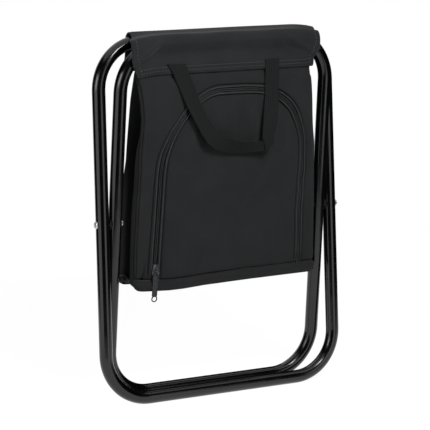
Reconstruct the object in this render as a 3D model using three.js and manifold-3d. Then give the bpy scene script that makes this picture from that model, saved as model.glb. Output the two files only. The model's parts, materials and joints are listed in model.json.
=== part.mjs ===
// A folding cooler stool: two nested loops of bent steel tube, riveted together at mid height,
// with a zipped cooler bag hung between their top bars. The top of the bag is the seat.
// Millimetres, +Z up, front toward -Y, standing on both bottom bars as folded for carrying.
import * as THREE from 'three';
import { mergeVertices } from 'three/addons/utils/BufferGeometryUtils.js';
import Module from 'manifold-3d';

const wasm = await Module();
wasm.setup();

// Frame tubes. Each loop lies in its own plane, and the two cross at the pivots.
const tubeRadius = 8;
const tubeWall = 1;
const outerHalfWidth = 166;
const barReach = 220;
const bendRadius = 57.5;
const frameLean = THREE.MathUtils.degToRad(4.05);
const buttGap = 0.4;
const spigotLength = 60;
const tubeSides = 18;
const boreSides = 12;

// Pivot rivets and the nylon washers that keep the tubes apart.
const runningGap = 0.3;
const washerThickness = 0.8;
const washerRadius = 7;
const rivetRadius = 3;
const rivetOuterHeadRadius = 4.4;
const rivetInnerHeadRadius = 3.8;
const rivetHeadHeight = 2.2;
const rivetBoreRadius = 1.7;
const rivetBoreDepth = 3;
const turnedSides = 16;

// Seat cloth: a sleeve over each top bar, closed under the bar by a facing, sewn at the hem.
const seatCloth = 2.4;
const sleeveGap = 0.4;
const frontSleeveInset = 1;
const rearSleeveInset = 7;
const sleeveStraight = 25;
const hemDrop = 35;
const hemForward = 4.5;
const sleeveBackAngle = THREE.MathUtils.degToRad(55);
const seatDip = 5;

// Bag panels, hung clear of the inner frame. Heights are measured down from the bar axis.
const bagClearance = 11.6;
const seamGap = 0.3;
const panelCloth = 1.5;
const panelTop = 29;
const panelBottom = 294.5;
const foamThickness = 4;
const foamInset = 3;
const foamTop = 38;
const liningThickness = 0.8;
const bandHeight = 12.5;
const bandThickness = 2.5;

// Side gussets and base, each in a front and a rear half that meet at the fold's crease.
const gussetCloth = 1.5;
const gussetWall = 14;
const gussetTuck = 30;
const creaseGap = 0.8;
const baseRise = 5;

// Door zipper: an arch in the front panel, which the hung bag pulls a little askew.
const archMargin = 25;
const archTop = 60.5;
const archCornerRadius = 75;
const archShift = 2.7;
const archSkew = 0.07;
const tapeWidth = 4.5;
const tapeThickness = 0.8;
const coilHalfWidth = 1.6;
const coilDepth = 2.4;
const coilProud = 0.8;

// Zipper slider and its pull.
const sliderRise = 10;
const sliderLength = 13.5;
const sliderHalfWidth = 4.4;
const sliderMouthHalf = 3.5;
const sliderShoulder = 6;
const sliderWaist = 8;
const sliderPlate = 1.5;
const sliderPostRadius = 1.3;
const sliderPostSides = 10;
const sliderBite = 0.5;
const bridgeInner = 2.8;
const bridgeThickness = 1.4;
const bridgeWidth = 2.4;
const pullThickness = 1.6;
const pullHalfWidth = 3.4;
const pullLength = 36;
const pullRingRadius = 4.6;
const pullHoleRadius = 3.3;

// Carry handle: one strap, its two ends sewn on at the hem.
const strapWidth = 22;
const strapThickness = 2;
const strapTop = 25;
const strapLeftEnd = -78;
const strapRightEnd = 61;
const strapUpperDrop = 38;
const strapLowerDrop = 76;
const strapDrop = 108;
const strapUpperLeft = -62;
const strapLowerLeft = -42;
const strapLowLeft = -15;
const strapLowRight = 35;
const strapLowerRight = 59;
const strapTilt = THREE.MathUtils.degToRad(42);
const strapSteps = 44;

// Values that follow from the sizes above.
const tubeGap = washerThickness + 2 * runningGap;
const innerHalfWidth = outerHalfWidth - 2 * tubeRadius - tubeGap;
const panelHalfWidth = innerHalfWidth - tubeRadius - bagClearance;
const archHalfWidth = panelHalfWidth - archMargin;
const barOffset = barReach * Math.sin(frameLean);
const pivotHeight = barReach * Math.cos(frameLean) + tubeRadius;
const barHeight = pivotHeight + barReach * Math.cos(frameLean);
const sleeveRadius = tubeRadius + sleeveGap + seatCloth / 2;
const creaseDepth = barOffset - creaseGap / 2;
const panelFront = -hemForward + seatCloth / 2 + 2 * seamGap;
const foamFront = panelFront + panelCloth + seamGap;
const liningFront = foamFront + foamThickness + seamGap;
const foamHalf = panelHalfWidth - foamInset;
const bandFront = panelFront - seamGap;
const coilFront = panelFront - coilProud;
const strapPlane = -sleeveRadius - (seatCloth + strapThickness) / 2 - seamGap;

const finishes = {
  blackPaint: { color: 0x101214, roughness: 0.32, metalness: 0.4 },
  zinc: { color: 0xb4b6b8, roughness: 0.35, metalness: 0.9 },
  steel: { color: 0x7d8083, roughness: 0.5, metalness: 0.9 },
  nylon: { color: 0x1a1b1d, roughness: 0.55, metalness: 0 },
  charcoalCloth: { color: 0x2b2d2f, roughness: 0.9, metalness: 0 },
  webbing: { color: 0x26282a, roughness: 0.85, metalness: 0 },
  foam: { color: 0xe4e5e2, roughness: 0.9, metalness: 0 },
  silverLining: { color: 0xb9bcbf, roughness: 0.35, metalness: 0.3 },
  blackZip: { color: 0x18191b, roughness: 0.6, metalness: 0.1 },
};

function piece(name, geometry, finish, parent) {
  const mesh = new THREE.Mesh(geometry, new THREE.MeshStandardMaterial(finishes[finish]));
  mesh.name = name;
  parent.add(mesh);
}

// Boolean work: geometry to a solid and back.
function solid(geometry) {
  const bare = geometry.clone();
  bare.deleteAttribute('normal');
  bare.deleteAttribute('uv');
  const merged = mergeVertices(bare, 1e-4);
  const vertProperties = new Float32Array(merged.attributes.position.array);
  const triVerts = new Uint32Array(merged.index.array);
  return new wasm.Manifold(new wasm.Mesh({ numProp: 3, vertProperties, triVerts }));
}

function shape(manifold) {
  const mesh = manifold.getMesh();
  const geometry = new THREE.BufferGeometry();
  geometry.setAttribute('position', new THREE.BufferAttribute(mesh.vertProperties, 3));
  geometry.setIndex(new THREE.BufferAttribute(mesh.triVerts, 1));
  return geometry;
}

// Outline in plan (x, y), extruded upward from `low` to `high`.
function upright(outline, low, high) {
  const geometry = new THREE.ExtrudeGeometry(outline, { depth: high - low, bevelEnabled: false });
  return geometry.translate(0, 0, low);
}

// Outline seen from the front (x, z), extruded from its front face back by `thickness`.
function facing(outline, front, thickness, curveSegments = 12) {
  const settings = { depth: thickness, bevelEnabled: false, curveSegments };
  const geometry = new THREE.ExtrudeGeometry(outline, settings);
  return geometry.rotateX(Math.PI / 2).translate(0, front + thickness, 0);
}

// Side profile (y, z), extruded across the stool over both half lengths.
function across(outline, half, centre = 0) {
  const geometry = new THREE.ExtrudeGeometry(outline, { depth: 2 * half, bevelEnabled: false });
  const turn = new THREE.Matrix4().makeBasis(
    new THREE.Vector3(0, 1, 0),
    new THREE.Vector3(0, 0, 1),
    new THREE.Vector3(1, 0, 0),
  );
  return geometry.applyMatrix4(turn).translate(centre - half, 0, 0);
}

// A layer of cloth: a line drawn in section, given its thickness.
function layer(points, thickness) {
  const sides = [1, -1].map((side) => points.map((point, i) => {
    const before = points[Math.max(i - 1, 0)];
    const after = points[Math.min(i + 1, points.length - 1)];
    const into = point.clone().sub(before).normalize();
    const out = after.clone().sub(point).normalize();
    if (i === 0) into.copy(out);
    if (i === points.length - 1) out.copy(into);
    const along = into.clone().add(out).normalize();
    const reach = side * thickness / 2 / along.dot(out);
    return new THREE.Vector2(point.x - along.y * reach, point.y + along.x * reach);
  }));
  return new THREE.Shape([...sides[0].reverse(), ...sides[1]]);
}

function point(x, y) {
  return new THREE.Vector2(x, y);
}

// Skin over a list of equal rings of points, closed by a cap at each end.
function loft(rings) {
  const size = rings[0].length;
  const positions = rings.flat().flatMap((p) => [p.x, p.y, p.z]);
  const index = [];
  for (let r = 0; r + 1 < rings.length; r += 1) {
    for (let i = 0; i < size; i += 1) {
      const a = r * size + i;
      const b = r * size + (i + 1) % size;
      index.push(a, b, b + size, a, b + size, a + size);
    }
  }
  const last = (rings.length - 1) * size;
  for (let i = 1; i + 1 < size; i += 1) {
    index.push(0, i + 1, i, last, last + i, last + i + 1);
  }
  const geometry = new THREE.BufferGeometry();
  geometry.setAttribute('position', new THREE.Float32BufferAttribute(positions, 3));
  geometry.setIndex(index);
  return geometry;
}

// Frame loops

// Centre line of a loop: from the butt joint in the middle of the top bar, round the four bends.
function loopStations(halfWidth) {
  const bendSteps = 9;
  const corners = [[1, 1], [1, -1], [-1, -1], [-1, 1]];
  const stations = [{ x: buttGap / 2, z: barReach, angle: Math.PI / 2 }];
  corners.forEach(([sx, sz], turn) => {
    const centreX = sx * (halfWidth - bendRadius);
    const centreZ = sz * (barReach - bendRadius);
    for (let i = 0; i <= bendSteps; i += 1) {
      const angle = Math.PI / 2 - (turn + i / bendSteps) * Math.PI / 2;
      const x = centreX + bendRadius * Math.cos(angle);
      const z = centreZ + bendRadius * Math.sin(angle);
      stations.push({ x, z, angle });
    }
  });
  stations.push({ x: -buttGap / 2, z: barReach, angle: Math.PI / 2 - 2 * Math.PI });
  return stations;
}

// Tube skin of one radius along a loop.
function loopSkin(halfWidth, radius, sides) {
  const rings = loopStations(halfWidth).map(({ x, z, angle }) => {
    const ring = [];
    for (let i = 0; i < sides; i += 1) {
      const turn = 2 * Math.PI * (i + 0.5) / sides;
      const outward = radius * Math.cos(turn);
      const depth = radius * Math.sin(turn);
      ring.push(new THREE.Vector3(x + outward * Math.cos(angle), depth, z + outward * Math.sin(angle)));
    }
    return ring;
  });
  return loft(rings.map((ring) => ring.reverse()));
}

// One frame: a bent tube, drilled for the rivets.
function frameTube(halfWidth) {
  const skin = solid(loopSkin(halfWidth, tubeRadius, tubeSides));
  const bore = longerBore(halfWidth);
  const drill = new THREE.CylinderGeometry(
    rivetRadius + runningGap,
    rivetRadius + runningGap,
    2 * (halfWidth + 2 * tubeRadius),
    turnedSides,
  );
  drill.rotateZ(Math.PI / 2);
  return shape(skin.subtract(bore).subtract(solid(drill)));
}

// The bore, run out past both ends of the tube at the butt joint.
function longerBore(halfWidth) {
  const boreRadius = tubeRadius - tubeWall;
  const end = new THREE.CylinderGeometry(boreRadius, boreRadius, 4 * tubeRadius, boreSides);
  end.rotateY(Math.PI / boreSides).rotateZ(Math.PI / 2).translate(0, 0, barReach);
  return solid(loopSkin(halfWidth, boreRadius, boreSides)).add(solid(end));
}

// The plug inside the butt joint that holds the two tube ends in line.
function spigot() {
  const radius = tubeRadius - tubeWall - runningGap;
  return new THREE.CylinderGeometry(radius, radius, spigotLength, boreSides)
    .rotateY(Math.PI / boreSides)
    .rotateZ(Math.PI / 2)
    .translate(0, 0, barReach);
}

// Tubular rivet, turned about the pivot axis: domed head outside, flared head inside.
function rivet() {
  const inner = innerHalfWidth - tubeRadius - runningGap;
  const outer = outerHalfWidth + tubeRadius + runningGap;
  const profile = [
    point(0, inner - rivetHeadHeight + rivetBoreDepth),
    point(rivetBoreRadius, inner - rivetHeadHeight + rivetBoreDepth),
    point(rivetBoreRadius, inner - rivetHeadHeight),
    point((rivetBoreRadius + rivetInnerHeadRadius) / 2, inner - rivetHeadHeight),
    point(rivetInnerHeadRadius, inner - rivetHeadHeight / 2),
    point(rivetInnerHeadRadius, inner),
    point(rivetRadius, inner),
    point(rivetRadius, outer),
    point(rivetOuterHeadRadius, outer),
    point(rivetOuterHeadRadius, outer + rivetHeadHeight / 3),
    point((rivetBoreRadius + rivetOuterHeadRadius) / 2, outer + rivetHeadHeight),
    point(rivetBoreRadius, outer + rivetHeadHeight),
    point(rivetBoreRadius, outer + rivetHeadHeight - rivetBoreDepth),
    point(0, outer + rivetHeadHeight - rivetBoreDepth),
  ];
  return new THREE.LatheGeometry(profile, turnedSides).rotateZ(-Math.PI / 2);
}

function washer() {
  const near = innerHalfWidth + tubeRadius + runningGap;
  const hole = rivetRadius + runningGap;
  const profile = [
    point(hole, near),
    point(washerRadius, near),
    point(washerRadius, near + washerThickness),
    point(hole, near + washerThickness),
    point(hole, near),
  ];
  return new THREE.LatheGeometry(profile, turnedSides).rotateZ(-Math.PI / 2);
}

const stool = new THREE.Group();

const outerFrame = new THREE.Group();
outerFrame.position.z = pivotHeight;
outerFrame.rotation.x = -frameLean;
stool.add(outerFrame);
piece('outer_frame_tube', frameTube(outerHalfWidth), 'blackPaint', outerFrame);
piece('outer_frame_spigot', spigot(), 'steel', outerFrame);

const innerFrame = new THREE.Group();
innerFrame.position.z = pivotHeight;
innerFrame.rotation.x = frameLean;
stool.add(innerFrame);
piece('inner_frame_tube', frameTube(innerHalfWidth), 'blackPaint', innerFrame);
piece('inner_frame_spigot', spigot(), 'steel', innerFrame);

for (const [side, turn] of [['right', 0], ['left', Math.PI]]) {
  const pivot = new THREE.Group();
  pivot.rotation.z = turn;
  outerFrame.add(pivot);
  piece(`${side}_pivot_rivet`, rivet(), 'zinc', pivot);
  piece(`${side}_pivot_washer`, washer(), 'nylon', pivot);
}

// Bag: the front and rear halves are alike, each hung from its own top bar

const front = new THREE.Group();
front.position.set(0, -barOffset, barHeight);
stool.add(front);

const rear = new THREE.Group();
rear.position.set(0, barOffset, barHeight);
rear.rotation.z = Math.PI;
stool.add(rear);

// Outer layer of the sleeve: over the bar, down its outside and in to the hem.
function sleevePath() {
  const path = new THREE.Path();
  path.absarc(0, 0, sleeveRadius, sleeveBackAngle, Math.PI, false);
  path.lineTo(-sleeveRadius, -sleeveStraight);
  path.lineTo(-hemForward, -hemDrop);
  return path.getPoints(10);
}

// Inner layer, which closes the sleeve under the bar.
function sleeveFacingPath() {
  const hem = panelFront + panelCloth + seamGap + seatCloth / 2;
  return [
    point(sleeveRadius, seatCloth / 2),
    point(sleeveRadius, -tubeRadius),
    point(hem, -hemDrop),
  ];
}

// Seat web, from the back of the sleeve down to the crease between the two bars.
function seatPath() {
  const startAngle = sleeveBackAngle - 1.5 * seamGap / sleeveRadius;
  const start = point(sleeveRadius * Math.cos(startAngle), sleeveRadius * Math.sin(startAngle));
  const shoulder = point(sleeveRadius + seatCloth / 2, start.y - seatDip / 2);
  const dip = start.y - seatDip;
  return [start, shoulder, point(creaseDepth - seatCloth / 2, dip), point(creaseDepth, dip)];
}

function basePath() {
  const low = -panelBottom - bandHeight;
  return [
    point(bandFront + bandThickness + seamGap, low),
    point(creaseDepth / 2, low),
    point(creaseDepth - gussetCloth, low + baseRise),
    point(creaseDepth, low + baseRise),
  ];
}

function gussetPath(side) {
  const wallX = side * (panelHalfWidth + seamGap + gussetCloth / 2);
  return [
    point(wallX, panelFront),
    point(wallX, panelFront + gussetWall),
    point(wallX - side * gussetTuck, creaseDepth - gussetCloth / 2),
  ];
}

// Rectangle seen from the front, between two drops below the bar.
function sheet(half, top, bottom) {
  return new THREE.Shape([
    point(-half, -bottom),
    point(half, -bottom),
    point(half, -top),
    point(-half, -top),
  ]);
}

// The arch, grown by `offset` from the zipper's centre line, from the left foot to the right foot.
function archPoints(offset, foot) {
  const half = archHalfWidth + offset;
  const radius = archCornerRadius + offset;
  const top = -archTop + offset;
  const path = new THREE.Path();
  path.moveTo(-half, -foot);
  path.lineTo(-half, top - radius);
  path.absarc(-half + radius, top - radius, radius, Math.PI, Math.PI / 2, true);
  path.absarc(half - radius, top - radius, radius, Math.PI / 2, 0, true);
  path.lineTo(half, -foot);
  return path.getPoints(6).map((p) => point(p.x + archShift + archSkew * (p.y + panelBottom), p.y));
}

// A panel above and beside the arch: an upside-down U.
function archSurround(half, top, offset) {
  return new THREE.Shape([
    point(-half, -panelBottom),
    ...archPoints(offset, panelBottom),
    point(half, -panelBottom),
    point(half, -top),
    point(-half, -top),
  ]);
}

// A strip that follows the arch between two offsets. Its left leg may stop short of the foot.
function archStrip(innerOffset, outerOffset, shortLeft = 0) {
  const outer = archPoints(outerOffset, panelBottom);
  const inner = archPoints(innerOffset, panelBottom);
  for (const line of [outer, inner]) {
    line[0].x += archSkew * shortLeft;
    line[0].y += shortLeft;
  }
  return new THREE.Shape([...outer, ...inner.reverse()]);
}

for (const [end, group, frameHalf, sleeveInset] of [
  ['front', front, innerHalfWidth, frontSleeveInset],
  ['rear', rear, outerHalfWidth, rearSleeveInset],
]) {
  const sleeveHalf = panelHalfWidth - sleeveInset;
  const straightHalf = frameHalf - bendRadius;
  const bandTop = panelBottom + seamGap;
  const bandBottom = panelBottom + bandHeight;
  const gussetBottom = -bandBottom + baseRise + gussetCloth + seamGap;

  piece(`${end}_sleeve`, across(layer(sleevePath(), seatCloth), sleeveHalf), 'charcoalCloth', group);
  const closing = across(layer(sleeveFacingPath(), seatCloth), straightHalf);
  piece(`${end}_sleeve_facing`, closing, 'charcoalCloth', group);
  piece(`seat_${end}_half`, across(layer(seatPath(), seatCloth), sleeveHalf), 'charcoalCloth', group);
  const band = facing(sheet(panelHalfWidth, bandTop, bandBottom), bandFront, bandThickness);
  piece(`${end}_base_band`, band, 'charcoalCloth', group);
  piece(`base_${end}_half`, across(layer(basePath(), gussetCloth), panelHalfWidth), 'charcoalCloth', group);
  const lining = facing(sheet(foamHalf, foamTop, panelBottom), liningFront, liningThickness);
  piece(`${end}_lining`, lining, 'silverLining', group);
  for (const side of [-1, 1]) {
    const leftHand = (side < 0) === (end === 'front');
    const name = `${leftHand ? 'left' : 'right'}_gusset_${end}_half`;
    const gusset = upright(layer(gussetPath(side), gussetCloth), gussetBottom, -foamTop);
    piece(name, gusset, 'charcoalCloth', group);
  }
}

// Plain rear panel, and the front panel with its zipped door

const rearPanel = facing(sheet(panelHalfWidth, panelTop, panelBottom), panelFront, panelCloth);
piece('rear_panel', rearPanel, 'charcoalCloth', rear);
const rearFoam = facing(sheet(foamHalf, foamTop, panelBottom), foamFront, foamThickness);
piece('rear_insulation', rearFoam, 'foam', rear);

const tapeInner = coilHalfWidth + seamGap;
const tapeOuter = tapeInner + tapeWidth;
const doorOffset = tapeOuter + seamGap;
const surround = archSurround(panelHalfWidth, panelTop, doorOffset);
piece('front_panel', facing(surround, panelFront, panelCloth), 'charcoalCloth', front);
const surroundFoam = archSurround(foamHalf, foamTop, doorOffset);
piece('front_insulation', facing(surroundFoam, foamFront, foamThickness), 'foam', front);
const door = new THREE.Shape(archPoints(-doorOffset, panelBottom));
piece('door_panel', facing(door, panelFront, panelCloth), 'charcoalCloth', front);
piece('door_insulation', facing(door, foamFront, foamThickness), 'foam', front);

const tapeFront = panelFront + (panelCloth - tapeThickness) / 2;
const coilEnd = sliderRise + 2 * sliderPostRadius + 2 * seamGap;
piece('zip_outer_tape', facing(archStrip(tapeInner, tapeOuter), tapeFront, tapeThickness), 'blackZip', front);
piece('zip_inner_tape', facing(archStrip(-tapeOuter, -tapeInner), tapeFront, tapeThickness), 'blackZip', front);
const coil = facing(archStrip(-coilHalfWidth, coilHalfWidth, coilEnd), coilFront, coilDepth);
piece('zip_coil', coil, 'blackZip', front);

// Slider: two plates joined by a post below the end of the coil, with a bridge for the pull.
// Its own frame stands on the left leg of the arch, at the foot of the slider.
const sliderGroup = new THREE.Group();
const sliderX = archShift - archHalfWidth + archSkew * sliderRise;
sliderGroup.position.set(sliderX, 0, sliderRise - panelBottom);
sliderGroup.rotation.y = Math.atan(archSkew);
front.add(sliderGroup);

const plateBack = coilFront + coilDepth + seamGap;
const plateFront = coilFront - seamGap - sliderPlate;
const bridgeHeight = sliderLength / 2;

function sliderOutline() {
  const outline = new THREE.Shape();
  outline.moveTo(-sliderHalfWidth, 0);
  outline.lineTo(sliderHalfWidth, 0);
  outline.lineTo(sliderHalfWidth, sliderShoulder);
  outline.quadraticCurveTo(sliderMouthHalf, sliderWaist, sliderMouthHalf, sliderLength);
  outline.lineTo(-sliderMouthHalf, sliderLength);
  outline.quadraticCurveTo(-sliderMouthHalf, sliderWaist, -sliderHalfWidth, sliderShoulder);
  return outline;
}

function sliderBody() {
  const postDepth = plateBack - plateFront;
  const post = new THREE.CylinderGeometry(sliderPostRadius, sliderPostRadius, postDepth, sliderPostSides)
    .translate(0, plateFront + sliderPlate / 2 + postDepth / 2, sliderPostRadius);
  const arch = new THREE.Shape();
  arch.absarc(0, 0, bridgeInner + bridgeThickness, Math.PI / 2, 3 * Math.PI / 2, false);
  arch.lineTo(sliderBite, -bridgeInner - bridgeThickness);
  arch.lineTo(sliderBite, -bridgeInner);
  arch.absarc(0, 0, bridgeInner, 3 * Math.PI / 2, Math.PI / 2, true);
  arch.lineTo(sliderBite, bridgeInner);
  arch.lineTo(sliderBite, bridgeInner + bridgeThickness);
  const bridge = across(arch, bridgeWidth / 2).translate(0, plateFront, bridgeHeight);
  return shape(solid(facing(sliderOutline(), plateFront, sliderPlate, 4))
    .add(solid(facing(sliderOutline(), plateBack, sliderPlate, 4)))
    .add(solid(post))
    .add(solid(bridge)));
}

piece('zip_slider', sliderBody(), 'blackZip', sliderGroup);

// Pull: a flat tab with a window whose top bar hangs in the bridge, and a ring at its lower end.
function pullTab() {
  const bar = pullThickness / 2;
  const windowHalf = bridgeWidth / 2 + 2 * seamGap;
  const windowLow = -(bridgeInner + bridgeThickness + 2 * seamGap);
  const ringZ = bar - pullLength + pullRingRadius;
  const neck = Math.acos(pullHalfWidth / pullRingRadius);
  const outline = new THREE.Shape();
  outline.moveTo(pullHalfWidth, bar);
  outline.lineTo(-pullHalfWidth, bar);
  outline.absarc(0, ringZ, pullRingRadius, Math.PI - neck, 2 * Math.PI + neck, false);
  outline.holes.push(new THREE.Path([
    point(-windowHalf, windowLow),
    point(-windowHalf, -bar),
    point(windowHalf, -bar),
    point(windowHalf, windowLow),
  ]));
  outline.holes.push(new THREE.Path().absarc(0, ringZ, pullHoleRadius, 0, 2 * Math.PI, true));
  return facing(outline, -pullThickness / 2, pullThickness, 8);
}

const pullGroup = new THREE.Group();
pullGroup.position.set(0, plateFront - bridgeInner / 2, bridgeHeight);
pullGroup.rotation.y = -sliderGroup.rotation.y;
sliderGroup.add(pullGroup);
piece('zip_pull', pullTab(), 'blackZip', pullGroup);

// Handle: the ends are cut level at the hem, the legs lie flat to the panel,
// and the low loop turns its face down as it swings across.
function handleStrap() {
  const bow = strapPlane - strapWidth / 2 * Math.sin(strapTilt) + strapThickness;
  const upper = -strapTop - strapUpperDrop;
  const lower = -strapTop - strapLowerDrop;
  const low = -strapTop - strapDrop;
  const route = new THREE.CatmullRomCurve3([
    new THREE.Vector3(strapLeftEnd, strapPlane, -strapTop),
    new THREE.Vector3(strapUpperLeft, strapPlane, upper),
    new THREE.Vector3(strapLowerLeft, strapPlane, lower),
    new THREE.Vector3(strapLowLeft, bow, low + strapThickness),
    new THREE.Vector3((strapLowLeft + strapLowRight) / 2, bow, low),
    new THREE.Vector3(strapLowRight, bow, low + strapThickness),
    new THREE.Vector3(strapLowerRight, strapPlane, lower),
    new THREE.Vector3(strapRightEnd, strapPlane, upper),
    new THREE.Vector3(strapRightEnd, strapPlane, -strapTop),
  ], false, 'centripetal');
  const rings = [];
  for (let i = 0; i <= strapSteps; i += 1) {
    const centre = route.getPointAt(i / strapSteps);
    const tangent = route.getTangentAt(i / strapSteps);
    if (i === 0) tangent.set(0, 0, -1);
    if (i === strapSteps) tangent.set(0, 0, 1);
    const tilt = strapTilt * tangent.x * tangent.x;
    const face = new THREE.Vector3(0, -Math.cos(tilt), -Math.sin(tilt));
    const broad = new THREE.Vector3().crossVectors(tangent, face).normalize();
    const thick = new THREE.Vector3().crossVectors(broad, tangent).normalize();
    const corner = (b, t) => centre.clone()
      .addScaledVector(broad, b * strapWidth / 2)
      .addScaledVector(thick, t * strapThickness / 2);
    rings.push([corner(1, 1), corner(1, -1), corner(-1, -1), corner(-1, 1)]);
  }
  return loft(rings);
}

piece('handle_strap', handleStrap(), 'webbing', front);

// The origin is the middle of the space the stool takes up, on the floor it stands on.
const space = new THREE.Box3().setFromObject(stool, true);
const middle = space.getCenter(new THREE.Vector3());
stool.position.set(-middle.x, -middle.y, -space.min.z);

export default stool;
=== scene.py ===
"""A folding cooler stool, folded for carrying: its looks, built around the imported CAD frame."""

import json

import bmesh
import bpy
import numpy as np
from mathutils import Matrix, Vector


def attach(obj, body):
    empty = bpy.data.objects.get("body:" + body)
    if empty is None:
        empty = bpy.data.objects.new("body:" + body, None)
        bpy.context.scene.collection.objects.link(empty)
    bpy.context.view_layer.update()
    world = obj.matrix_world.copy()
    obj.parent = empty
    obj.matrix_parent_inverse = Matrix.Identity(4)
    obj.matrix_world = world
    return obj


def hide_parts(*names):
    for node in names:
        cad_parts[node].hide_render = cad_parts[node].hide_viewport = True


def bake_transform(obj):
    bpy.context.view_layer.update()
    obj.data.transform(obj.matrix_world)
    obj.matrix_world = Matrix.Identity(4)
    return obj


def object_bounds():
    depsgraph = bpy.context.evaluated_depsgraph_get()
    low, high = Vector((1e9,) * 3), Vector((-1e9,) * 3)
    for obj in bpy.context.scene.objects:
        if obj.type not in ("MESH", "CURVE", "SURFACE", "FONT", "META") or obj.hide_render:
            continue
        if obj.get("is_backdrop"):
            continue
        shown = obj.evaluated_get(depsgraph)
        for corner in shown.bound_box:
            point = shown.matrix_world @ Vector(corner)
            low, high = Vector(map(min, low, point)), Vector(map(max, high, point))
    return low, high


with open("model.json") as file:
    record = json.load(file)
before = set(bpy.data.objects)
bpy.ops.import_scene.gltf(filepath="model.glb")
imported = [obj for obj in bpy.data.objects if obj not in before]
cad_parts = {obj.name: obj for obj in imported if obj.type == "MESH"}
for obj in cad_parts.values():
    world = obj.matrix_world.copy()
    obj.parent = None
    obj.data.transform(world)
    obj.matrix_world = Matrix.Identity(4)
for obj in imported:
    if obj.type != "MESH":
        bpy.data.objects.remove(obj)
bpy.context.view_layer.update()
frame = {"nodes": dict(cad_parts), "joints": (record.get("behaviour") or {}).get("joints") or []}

# Camera: a long lens from the front left, a little above the seat, turned slightly on its axis.
# Its place was fitted to the edges of the frame tubes in the photograph.
CAMERA_PLACE = (-1.52650, -2.48940, 0.74286)
CAMERA_RIGHT = (0.85483, -0.51883, 0.00899)
CAMERA_UP = (0.08275, 0.15341, 0.98469)
CAMERA_BACK = (-0.51227, -0.84100, 0.17407)
SENSOR_WIDTH = 36.0
FOCAL_LENGTH = 198.5
camera = bpy.data.objects.new("camera", bpy.data.cameras.new("camera"))
camera.data.sensor_width = SENSOR_WIDTH
camera.data.lens = FOCAL_LENGTH
axes_and_place = zip(CAMERA_RIGHT, CAMERA_UP, CAMERA_BACK, CAMERA_PLACE)
camera.matrix_world = Matrix([*axes_and_place, (0, 0, 0, 1)])
scene = bpy.context.scene
scene.collection.objects.link(camera)
scene.camera = camera
scene.view_settings.view_transform = "Standard"

# Studio: a pale floor in a dim white room, a key softbox close over the front of the stool and a fill from
# the left. A tall softbox on each side is there only as a reflection in the tubes, and dark flags keep the
# room out of them, except behind the stool. Sizes in metres.
WHITE = (1, 1, 1, 1)
AMBIENT = 0.05
FLOOR_RADIUS = 0.75
FLOOR_DROP = 0.0004
FLOOR_GLOW = 0.96
FLOOR_SHADE = (0.3, 0.3, 0.3, 1)
FLOOR_BOUNCE = (0.8, 0.8, 0.8, 1)
FLAG_RADIUS = 2.4
FLAG_GAP = np.radians(24)
FLAG_COUNT = 24
FLAG_LOW = -1.2
FLAG_HIGH = 3.0
FLAG_BLACK = (0.01, 0.01, 0.01)
AIM = Vector((0.0, 0.0, 0.28))
# Each softbox has a place, a width and height, a power, and whether it lights the cloth.
SOFTBOXES = {
    "left_softbox": ((-1.28, -0.20, 0.30), (1.10, 1.3), 6.6, False),
    "right_softbox": ((0.40, -1.50, 0.30), (0.85, 1.0), 4.0, False),
    "key_softbox": ((-0.02, -0.60, 0.82), (0.22, 0.22), 3.4, True),
    "fill_softbox": ((-1.43, -0.25, 0.69), (0.5, 0.5), 3.6, True),
}


def math_node(tree, operation, *inputs):
    """One sum on its inputs, in order: each is the output of another node, or a number."""
    made = tree.nodes.new("ShaderNodeMath")
    made.operation = operation
    for socket, value in zip(made.inputs, inputs):
        if isinstance(value, bpy.types.NodeSocket):
            tree.links.new(value, socket)
        else:
            socket.default_value = value
    return made.outputs[0]


def plain_shader(tree, kind, **sockets):
    """A shader node with even values on its own sockets."""
    made = tree.nodes.new(kind)
    for socket, value in sockets.items():
        made.inputs[socket].default_value = value
    return made


def seen_or_bounced(tree, bounced, seen, output):
    """Puts out one shader to the camera, to reflections and through clear things, and another to the light
    that bounces: the seen one where the ray is any of those three kinds."""
    path = tree.nodes.new("ShaderNodeLightPath").outputs
    direct = math_node(tree, "MAXIMUM", path["Is Camera Ray"], path["Is Glossy Ray"])
    rays = math_node(tree, "MAXIMUM", direct, path["Is Transmission Ray"])
    mix = tree.nodes.new("ShaderNodeMixShader")
    for source, socket in zip((rays, bounced.outputs[0], seen.outputs[0]), mix.inputs):
        tree.links.new(source, socket)
    tree.links.new(mix.outputs[0], tree.nodes.new(output).inputs[0])


def finish(name, colour, roughness, **sockets):
    """A principled finish with even values on its own sockets. Returns material, node tree and shader."""
    made = bpy.data.materials.new(name)
    made.use_nodes = True
    shader = made.node_tree.nodes["Principled BSDF"]
    shader.inputs["Base Color"].default_value = (*colour, 1)
    shader.inputs["Roughness"].default_value = roughness
    for socket, value in sockets.items():
        shader.inputs[socket.replace("_", " ")].default_value = value
    return made, made.node_tree, shader


def full_turn(count):
    """Angles evenly round a circle, without the last that meets the first."""
    return np.linspace(0, 2 * np.pi, count, endpoint=False)


def new_object(name, places, faces, material):
    """An object from points in metres and faces that list their numbers, in one finish."""
    mesh = bpy.data.meshes.new(name)
    mesh.from_pydata(places.tolist(), [], faces)
    mesh.materials.append(material)
    made = bpy.data.objects.new(name, mesh)
    scene.collection.objects.link(made)
    return made


def stage_plate(name, corners, material):
    """A flat polygon that stands for a part of the studio."""
    plate = new_object(name, np.asarray(corners, float), [list(range(len(corners)))], material)
    plate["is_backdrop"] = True
    return plate


world = bpy.data.worlds.new("studio")
world.use_nodes = True
scene.world = world
sky = world.node_tree
sky.nodes.clear()
room = plain_shader(sky, "ShaderNodeBackground", Color=WHITE, Strength=AMBIENT)
backdrop = plain_shader(sky, "ShaderNodeBackground", Color=WHITE, Strength=1.0)
seen_or_bounced(sky, room, backdrop, "ShaderNodeOutputWorld")

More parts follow.
